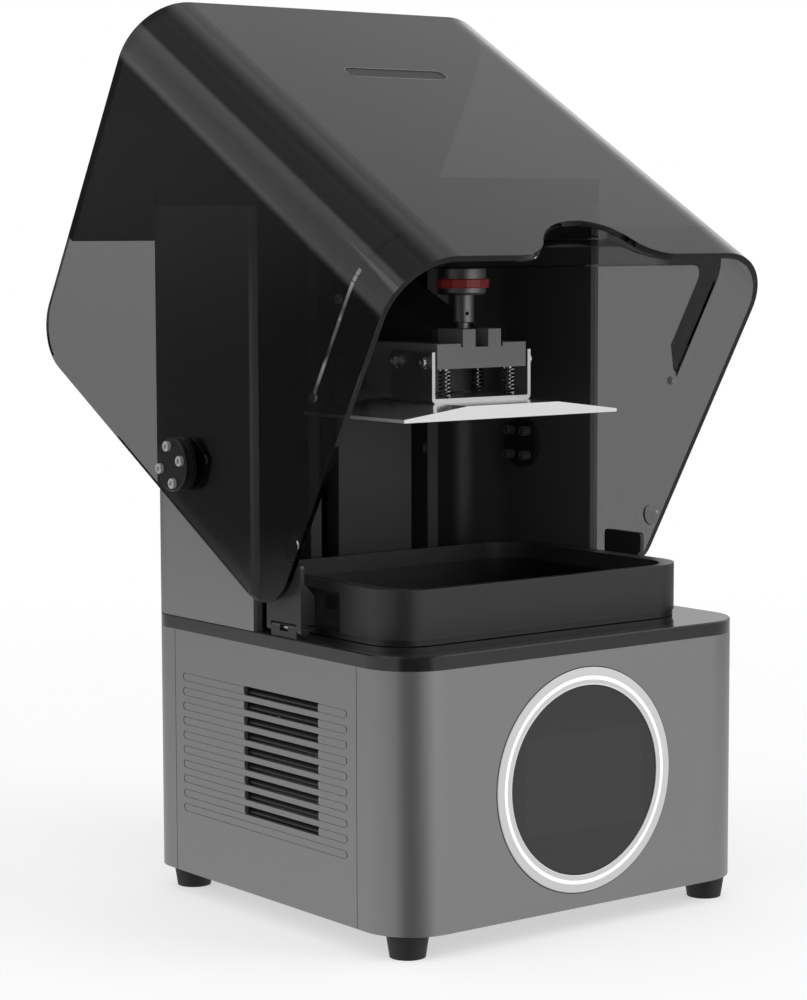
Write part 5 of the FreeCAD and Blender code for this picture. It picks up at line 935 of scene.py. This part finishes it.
def build_screen():
    """The round screen: a bezel with a thin lit strip let into it, a sunk dark glass, a lighter inner bead as
    a painted highlight, and black rings as painted shadow lines at the bezel's and glass's edges.
    """
    low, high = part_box("screen_bezel")
    shell_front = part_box("front_shell")[0].y
    rim = (high.x - low.x) / 2 - BEZEL_CLEAR
    front = Vector(((low.x + high.x) / 2, shell_front - BEZEL_PROUD, (low.z + high.z) / 2))
    back = front.y - high.y
    inner = GLASS_RADIUS - rim
    strip_out = -LIT_STRIP_FROM_RIM
    strip_in = strip_out - LIT_STRIP_WIDTH
    bezel = ((0.0, back), (0.0, -BEZEL_CHAMFER), (-BEZEL_CHAMFER, 0.0), (strip_out, 0.0),
             (strip_out, -LIT_STRIP_GROOVE), (strip_in, -LIT_STRIP_GROOVE), (strip_in, 0.0),
             (inner + BEZEL_LIP, 0.0), (inner, -BEZEL_LIP / 2), (inner, back))
    middle = (strip_out + strip_in) / 2
    strip = [(middle + out, rise - LIT_STRIP_SUNK - LIT_STRIP_CROWN)
             for out, rise in round_section(LIT_STRIP_WIDTH / 2, LIT_STRIP_CROWN)]
    strip += [(strip_in, -LIT_STRIP_GROOVE), (strip_out, -LIT_STRIP_GROOVE)]
    path = screen_circle(front, rim)
    new_piece("round_bezel", bead(path, bezel), "base", "bezel_white", FINISHES["bezel_white"],
              "screen_bezel")
    new_piece("lit_strip", bead(path, strip), "base", "lamp_white", FINISHES["lamp_white"], "light_ring")
    glass = []
    for radius, sunk in ((GLASS_RADIUS, GLASS_THICKNESS), (GLASS_RADIUS, GLASS_EDGE),
                         (GLASS_RADIUS - GLASS_EDGE, 0.0)):
        level = front - FORWARD * (GLASS_SUNK + sunk)
        glass.append([tuple(step[0]) for step in screen_circle(level, radius)])
    new_piece("sunk_glass", skin_rings(glass), "base", "dark_glass", FINISHES["dark_glass"], "touch_glass")
    # Painted highlight: the inner bead is a lighter white than the bezel, giving a bright line at the glass.
    inner_edge = screen_circle(front, GLASS_RADIUS + INNER_BEAD_HALF)
    new_piece("bezel_inner_bead", bead(inner_edge, round_section(INNER_BEAD_HALF, INNER_BEAD_RISE)), "base",
              "bezel_white", skin("bezel_bead_painted_highlight", shade(0.97), 0.3, 1500.0, 0.03, 0.05, 0.03))
    # Painted shade: black rubber rings stand in for the shadow gaps round the bezel and the glass.
    shadow_line_rings = (("bezel_painted_shadow_line", rim + SHADOW_LINE_HALF, Vector((front.x, shell_front, front.z))),
             ("glass_painted_shadow_line", GLASS_RADIUS - SHADOW_LINE_HALF, front - FORWARD * GLASS_SUNK))
    for name, radius, centre in shadow_line_rings:
        ring = bead(screen_circle(centre, radius), round_section(SHADOW_LINE_HALF, SHADOW_LINE_RISE))
        new_piece(name, ring, "base", "seal_rubber", FINISHES["seal_rubber"])


PANEL_UP = Vector((0.0, math.sin(HOOD_OPEN), math.cos(HOOD_OPEN)))
PANEL_OUT = Vector((0.0, -math.cos(HOOD_OPEN), math.sin(HOOD_OPEN)))
BADGE_HALF_LENGTH = 43.0 * MM
BADGE_HALF_HEIGHT = 6.5 * MM
BADGE_SUNK = 0.3 * MM
BADGE_RIM_LIFT = 0.35 * MM
BADGE_RIM_HALF = 0.45 * MM
BADGE_RIM_RISE = 0.25 * MM
BADGE_END_STEPS = 24


def build_badge_rim():
    """A bright bead round the bare name plate in the hood's front."""
    low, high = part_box("blank_badge")
    middle = (low + high) / 2 + PANEL_OUT * (BADGE_SUNK + BADGE_RIM_LIFT)
    straight = BADGE_HALF_LENGTH - BADGE_HALF_HEIGHT
    path = []
    for end in (1, -1):
        for step in range(BADGE_END_STEPS + 1):
            angle = math.pi * (step / BADGE_END_STEPS - 0.5) + (0.0 if end > 0 else math.pi)
            outward = ACROSS * math.cos(angle) + PANEL_UP * math.sin(angle)
            path.append((middle + ACROSS * straight * end + outward * BADGE_HALF_HEIGHT, outward, PANEL_OUT))
    finish = skin("bright_badge_rim", shade(0.15), 0.35, 2000.0, 0.1, 0.1, 0.05, metallic=0.5)
    new_piece("badge_rim", bead(path, round_section(BADGE_RIM_HALF, BADGE_RIM_RISE)), "hood", "badge_black",
              finish)


BAND_SIDES = 12
BAND_STEPS = 10
BAND_CHAMFER = 0.6 * MM
BAND_WALL = 3.6 * MM


def build_knob_band():
    """The red grip band with twelve flats."""
    low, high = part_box("knob_band")
    middle = (low + high) / 2
    radius = (high.x - low.x) / 2
    half = (high.z - low.z) / 2
    flat = 2 * math.pi / BAND_SIDES
    path = []
    sides = BAND_SIDES * BAND_STEPS
    for step in range(sides):
        angle = 2 * math.pi * step / sides
        outward = ACROSS * math.cos(angle) - FORWARD * math.sin(angle)
        reach = radius * math.cos(flat / 2) / math.cos(angle % flat - flat / 2)
        path.append((middle + outward * reach, outward, UPWARD))
    section = ((0.0, BAND_CHAMFER - half), (0.0, half - BAND_CHAMFER), (-BAND_CHAMFER, half),
               (-BAND_WALL, half), (-BAND_WALL, -half), (-BAND_CHAMFER, -half))
    new_piece("grip_band", bead(path, section), "knob", "band_red", FINISHES["band_red"], "knob_band",
              smooth=False)


# The stud's collar under the knob
COLLAR_RADIUS = 4.6 * MM
COLLAR_LOW = 387.0 * MM
COLLAR_HIGH = 391.6 * MM
COLLAR_CHAMFER = 0.5 * MM
COLLAR_SIDES = 48


def build_stud_collar():
    """A turned collar on the knob's stud, just above the head."""
    low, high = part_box("clamp_knob")
    middle = (low + high) / 2
    profile = ((COLLAR_RADIUS - COLLAR_CHAMFER, COLLAR_LOW), (COLLAR_RADIUS, COLLAR_LOW + COLLAR_CHAMFER),
               (COLLAR_RADIUS, COLLAR_HIGH - COLLAR_CHAMFER), (COLLAR_RADIUS - COLLAR_CHAMFER, COLLAR_HIGH))
    new_piece("stud_collar", turned_profile(profile, middle.x, middle.y, COLLAR_SIDES), "knob",
              "bare_aluminium", NODE_FINISHES["clamp_knob"])


# Slats behind the side vents
VENT_COUNT = 9
VENT_PITCH = 10.0 * MM
VENT_DROP = 31.5 * MM
VENT_MIDDLE = -15.6 * MM
VENT_HALF_LENGTH = 41.75 * MM
SLAT_OVERLAP = 3.0 * MM
SLAT_HALF_THICKNESS = 1.3 * MM
SLAT_DEPTH = 6.0 * MM
SLAT_GAP = 0.3 * MM
SLAT_SLOPE = math.radians(38.0)
SLAT_STEPS = 8
COMB_OUTLINE = ((0.0, -1.5 * MM), (1.0 * MM, -2.0 * MM), (8.0 * MM, -2.0 * MM), (8.6 * MM, 0.0),
                (8.0 * MM, 2.0 * MM), (1.0 * MM, 2.0 * MM), (0.0, 1.5 * MM))


def slat_section(inner_face, inward, level):
    """A blade with round edges that leans down and out toward the vent."""
    ring = []
    along = Vector((inward * math.cos(SLAT_SLOPE), 0.0, math.sin(SLAT_SLOPE)))
    across = Vector((-inward * math.sin(SLAT_SLOPE), 0.0, math.cos(SLAT_SLOPE)))
    reach = SLAT_DEPTH / 2
    inset = SLAT_GAP + SLAT_HALF_THICKNESS + reach * math.cos(SLAT_SLOPE)
    middle = Vector((inner_face + inward * inset, 0.0, level))
    for end in (1, -1):
        for step in range(SLAT_STEPS + 1):
            angle = math.pi * (step / SLAT_STEPS - 0.5)
            nose = along * math.cos(angle) + across * math.sin(angle)
            ring.append(middle + (along * reach + nose * SLAT_HALF_THICKNESS) * end)
    return ring


def build_vent_slats():
    """Black slats behind each side panel's vents, held in a comb at both ends."""
    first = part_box("deck_plate")[0].z - VENT_DROP
    for name, node, inward in (("left_vent_slats", "left_side_panel", 1),
                               ("right_vent_slats", "right_side_panel", -1)):
        low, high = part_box(node)
        inner_face = high.x if inward > 0 else low.x
        parts = []
        for row in range(VENT_COUNT):
            section = slat_section(inner_face, inward, first - row * VENT_PITCH)
            rings = []
            for end in (-1, 1):
                y = VENT_MIDDLE + end * (VENT_HALF_LENGTH + SLAT_OVERLAP)
                rings.append([(spot.x, y, spot.z) for spot in section])
            parts.append(skin_rings(rings))
        top = first + VENT_PITCH / 2
        bottom = top - VENT_COUNT * VENT_PITCH
        for end in (-1, 1):
            y = VENT_MIDDLE + end * (VENT_HALF_LENGTH + SLAT_OVERLAP)
            parts.append(skin_rings([[(inner_face + inward * deep, y + side, level)
                                      for deep, side in COMB_OUTLINE] for level in (bottom, top)]))
        new_piece(name, gathered(parts), "base", "black_plastic", FINISHES["black_plastic"])


# Studio

def make_camera():
    data = bpy.data.cameras.new("photo_camera")
    data.sensor_width = SENSOR
    data.lens = FOCAL_PIXELS / PHOTO_LONG_SIDE * SENSOR
    data.clip_start = 0.01
    data.clip_end = 50.0
    camera = bpy.data.objects.new("photo_camera", data)
    bpy.context.scene.collection.objects.link(camera)
    look = (CAMERA_TARGET - CAMERA_PLACE).to_track_quat("-Z", "Y").to_matrix().to_4x4()
    camera.matrix_world = Matrix.Translation(CAMERA_PLACE) @ look @ Matrix.Rotation(CAMERA_ROLL, 4, "Z")
    bpy.context.scene.camera = camera


def make_floor():
    """A pale floor that keeps the shadow and fades into the white backdrop."""
    mesh = bpy.data.meshes.new("floor")
    half = FLOOR_SIZE / 2
    corners = [(-half, -half, 0), (half, -half, 0), (half, half, 0), (-half, half, 0)]
    mesh.from_pydata(corners, [], [(0, 1, 2, 3)])
    floor = bpy.data.objects.new("floor", mesh)
    bpy.context.scene.collection.objects.link(floor)
    made = bpy.data.materials.new("pale_floor")
    made.use_nodes = True
    made.node_tree.nodes.clear()
    nodes = Nodes(made.node_tree)
    matt = nodes.add("BsdfDiffuse")
    matt.inputs[0].default_value = shade(FLOOR_SHADE)
    lift = nodes.add("Emission")
    lift.inputs[0].default_value = shade(1.0)
    path = nodes.add("LightPath")
    seen = nodes.math("MAXIMUM", path.outputs["Is Camera Ray"], path.outputs["Is Transmission Ray"])
    nodes.link(nodes.math("MULTIPLY", seen, FLOOR_LIFT), lift.inputs[1])
    both = nodes.add("AddShader")
    nodes.link(matt.outputs[0], both.inputs[0])
    nodes.link(lift.outputs[0], both.inputs[1])
    away = nodes.add("VectorMath", operation="LENGTH")
    nodes.link(nodes.place_on_part(), away.inputs[0])
    gone = nodes.spread(away.outputs["Value"], FLOOR_SHOWN_RADIUS, FLOOR_FADED_RADIUS, 0.0, 1.0, smooth=True)
    choose = nodes.add("MixShader")
    nodes.link(gone, choose.inputs[0])
    nodes.link(both.outputs[0], choose.inputs[1])
    nodes.link(nodes.add("BsdfTransparent").outputs[0], choose.inputs[2])
    nodes.link(choose.outputs[0], nodes.add("OutputMaterial").inputs[0])
    mesh.materials.append(made)
    floor.visible_glossy = False


def make_world():
    """White for the camera, even light for matt surfaces, and for gloss a dark room with soft boxes."""
    world = bpy.data.worlds.new("studio")
    bpy.context.scene.world = world
    world.use_nodes = True
    world.node_tree.nodes.clear()
    nodes = Nodes(world.node_tree)
    way = nodes.add("TexCoord").outputs["Generated"]

    def toward(direction, low, high):
        turn = nodes.add("VectorMath", operation="DOT_PRODUCT")
        nodes.link(way, turn.inputs[0])
        turn.inputs[1].default_value = direction
        return nodes.spread(turn.outputs["Value"], low, high, 0.0, 1.0, smooth=True)

    boxes = DARK_ROOM
    for direction, low, high, strength in SOFT_BOXES:
        boxes = nodes.math("ADD", boxes, nodes.math("MULTIPLY", toward(direction, low, high), strength))
    split = nodes.add("SeparateXYZ")
    nodes.link(way, split.inputs[0])
    below = nodes.spread(split.outputs["Z"], FLOOR_GLOW_START, FLOOR_GLOW_FULL, 0.0, FLOOR_GLOW, smooth=True)
    boxes = nodes.math("ADD", boxes, below)
    open_side = nodes.math("SUBTRACT", 1.0, toward(CAMERA_SIDE, CAMERA_SIDE_EDGE, CAMERA_SIDE_DARK))
    boxes = nodes.math("MULTIPLY", boxes, open_side)
    above = nodes.spread(split.outputs["Z"], STRIP_LOW, STRIP_LIT, 0.0, STRIP_GLOW, smooth=True)
    strip = nodes.math("MULTIPLY", toward(STRIP_SIDE, STRIP_EDGE, STRIP_FULL), above)
    boxes = nodes.math("ADD", boxes, strip)
    path = nodes.add("LightPath")
    glossy = nodes.math("MULTIPLY", path.outputs["Is Glossy Ray"], boxes)
    seen = nodes.math("MAXIMUM", path.outputs["Is Camera Ray"], path.outputs["Is Transmission Ray"])
    other = nodes.math("MULTIPLY", AMBIENT, nodes.math("SUBTRACT", 1.0, nodes.math(
        "MAXIMUM", seen, path.outputs["Is Glossy Ray"])))
    strength = nodes.math("ADD", nodes.math("MAXIMUM", seen, glossy), other)
    back = nodes.add("Background")
    back.inputs[0].default_value = shade(1.0)
    nodes.link(strength, back.inputs[1])
    nodes.link(back.outputs[0], nodes.add("OutputWorld").inputs[0])


def make_lamp(name, place, size, power):
    data = bpy.data.lights.new(name, "AREA")
    data.shape = "RECTANGLE"
    data.size, data.size_y = size
    data.energy = power
    lamp = bpy.data.objects.new(name, data)
    bpy.context.scene.collection.objects.link(lamp)
    lamp.location = place
    lamp.rotation_mode = "QUATERNION"
    lamp.rotation_quaternion = (LAMP_TARGET - Vector(place)).to_track_quat("-Z", "Y")
    lamp.visible_camera = False


def make_studio():
    make_camera()
    make_floor()
    make_world()
    for lamp in LAMPS:
        make_lamp(*lamp)
    bpy.context.scene.view_settings.view_transform = "Standard"


dress_nodes()
soften_edges()
build_plate_springs()
build_cap_screws()
build_baffle_screws()
build_rear_screws()
build_magnet_plugs()
build_screen()
build_badge_rim()
build_knob_band()
build_stud_collar()
build_vent_slats()
make_studio()
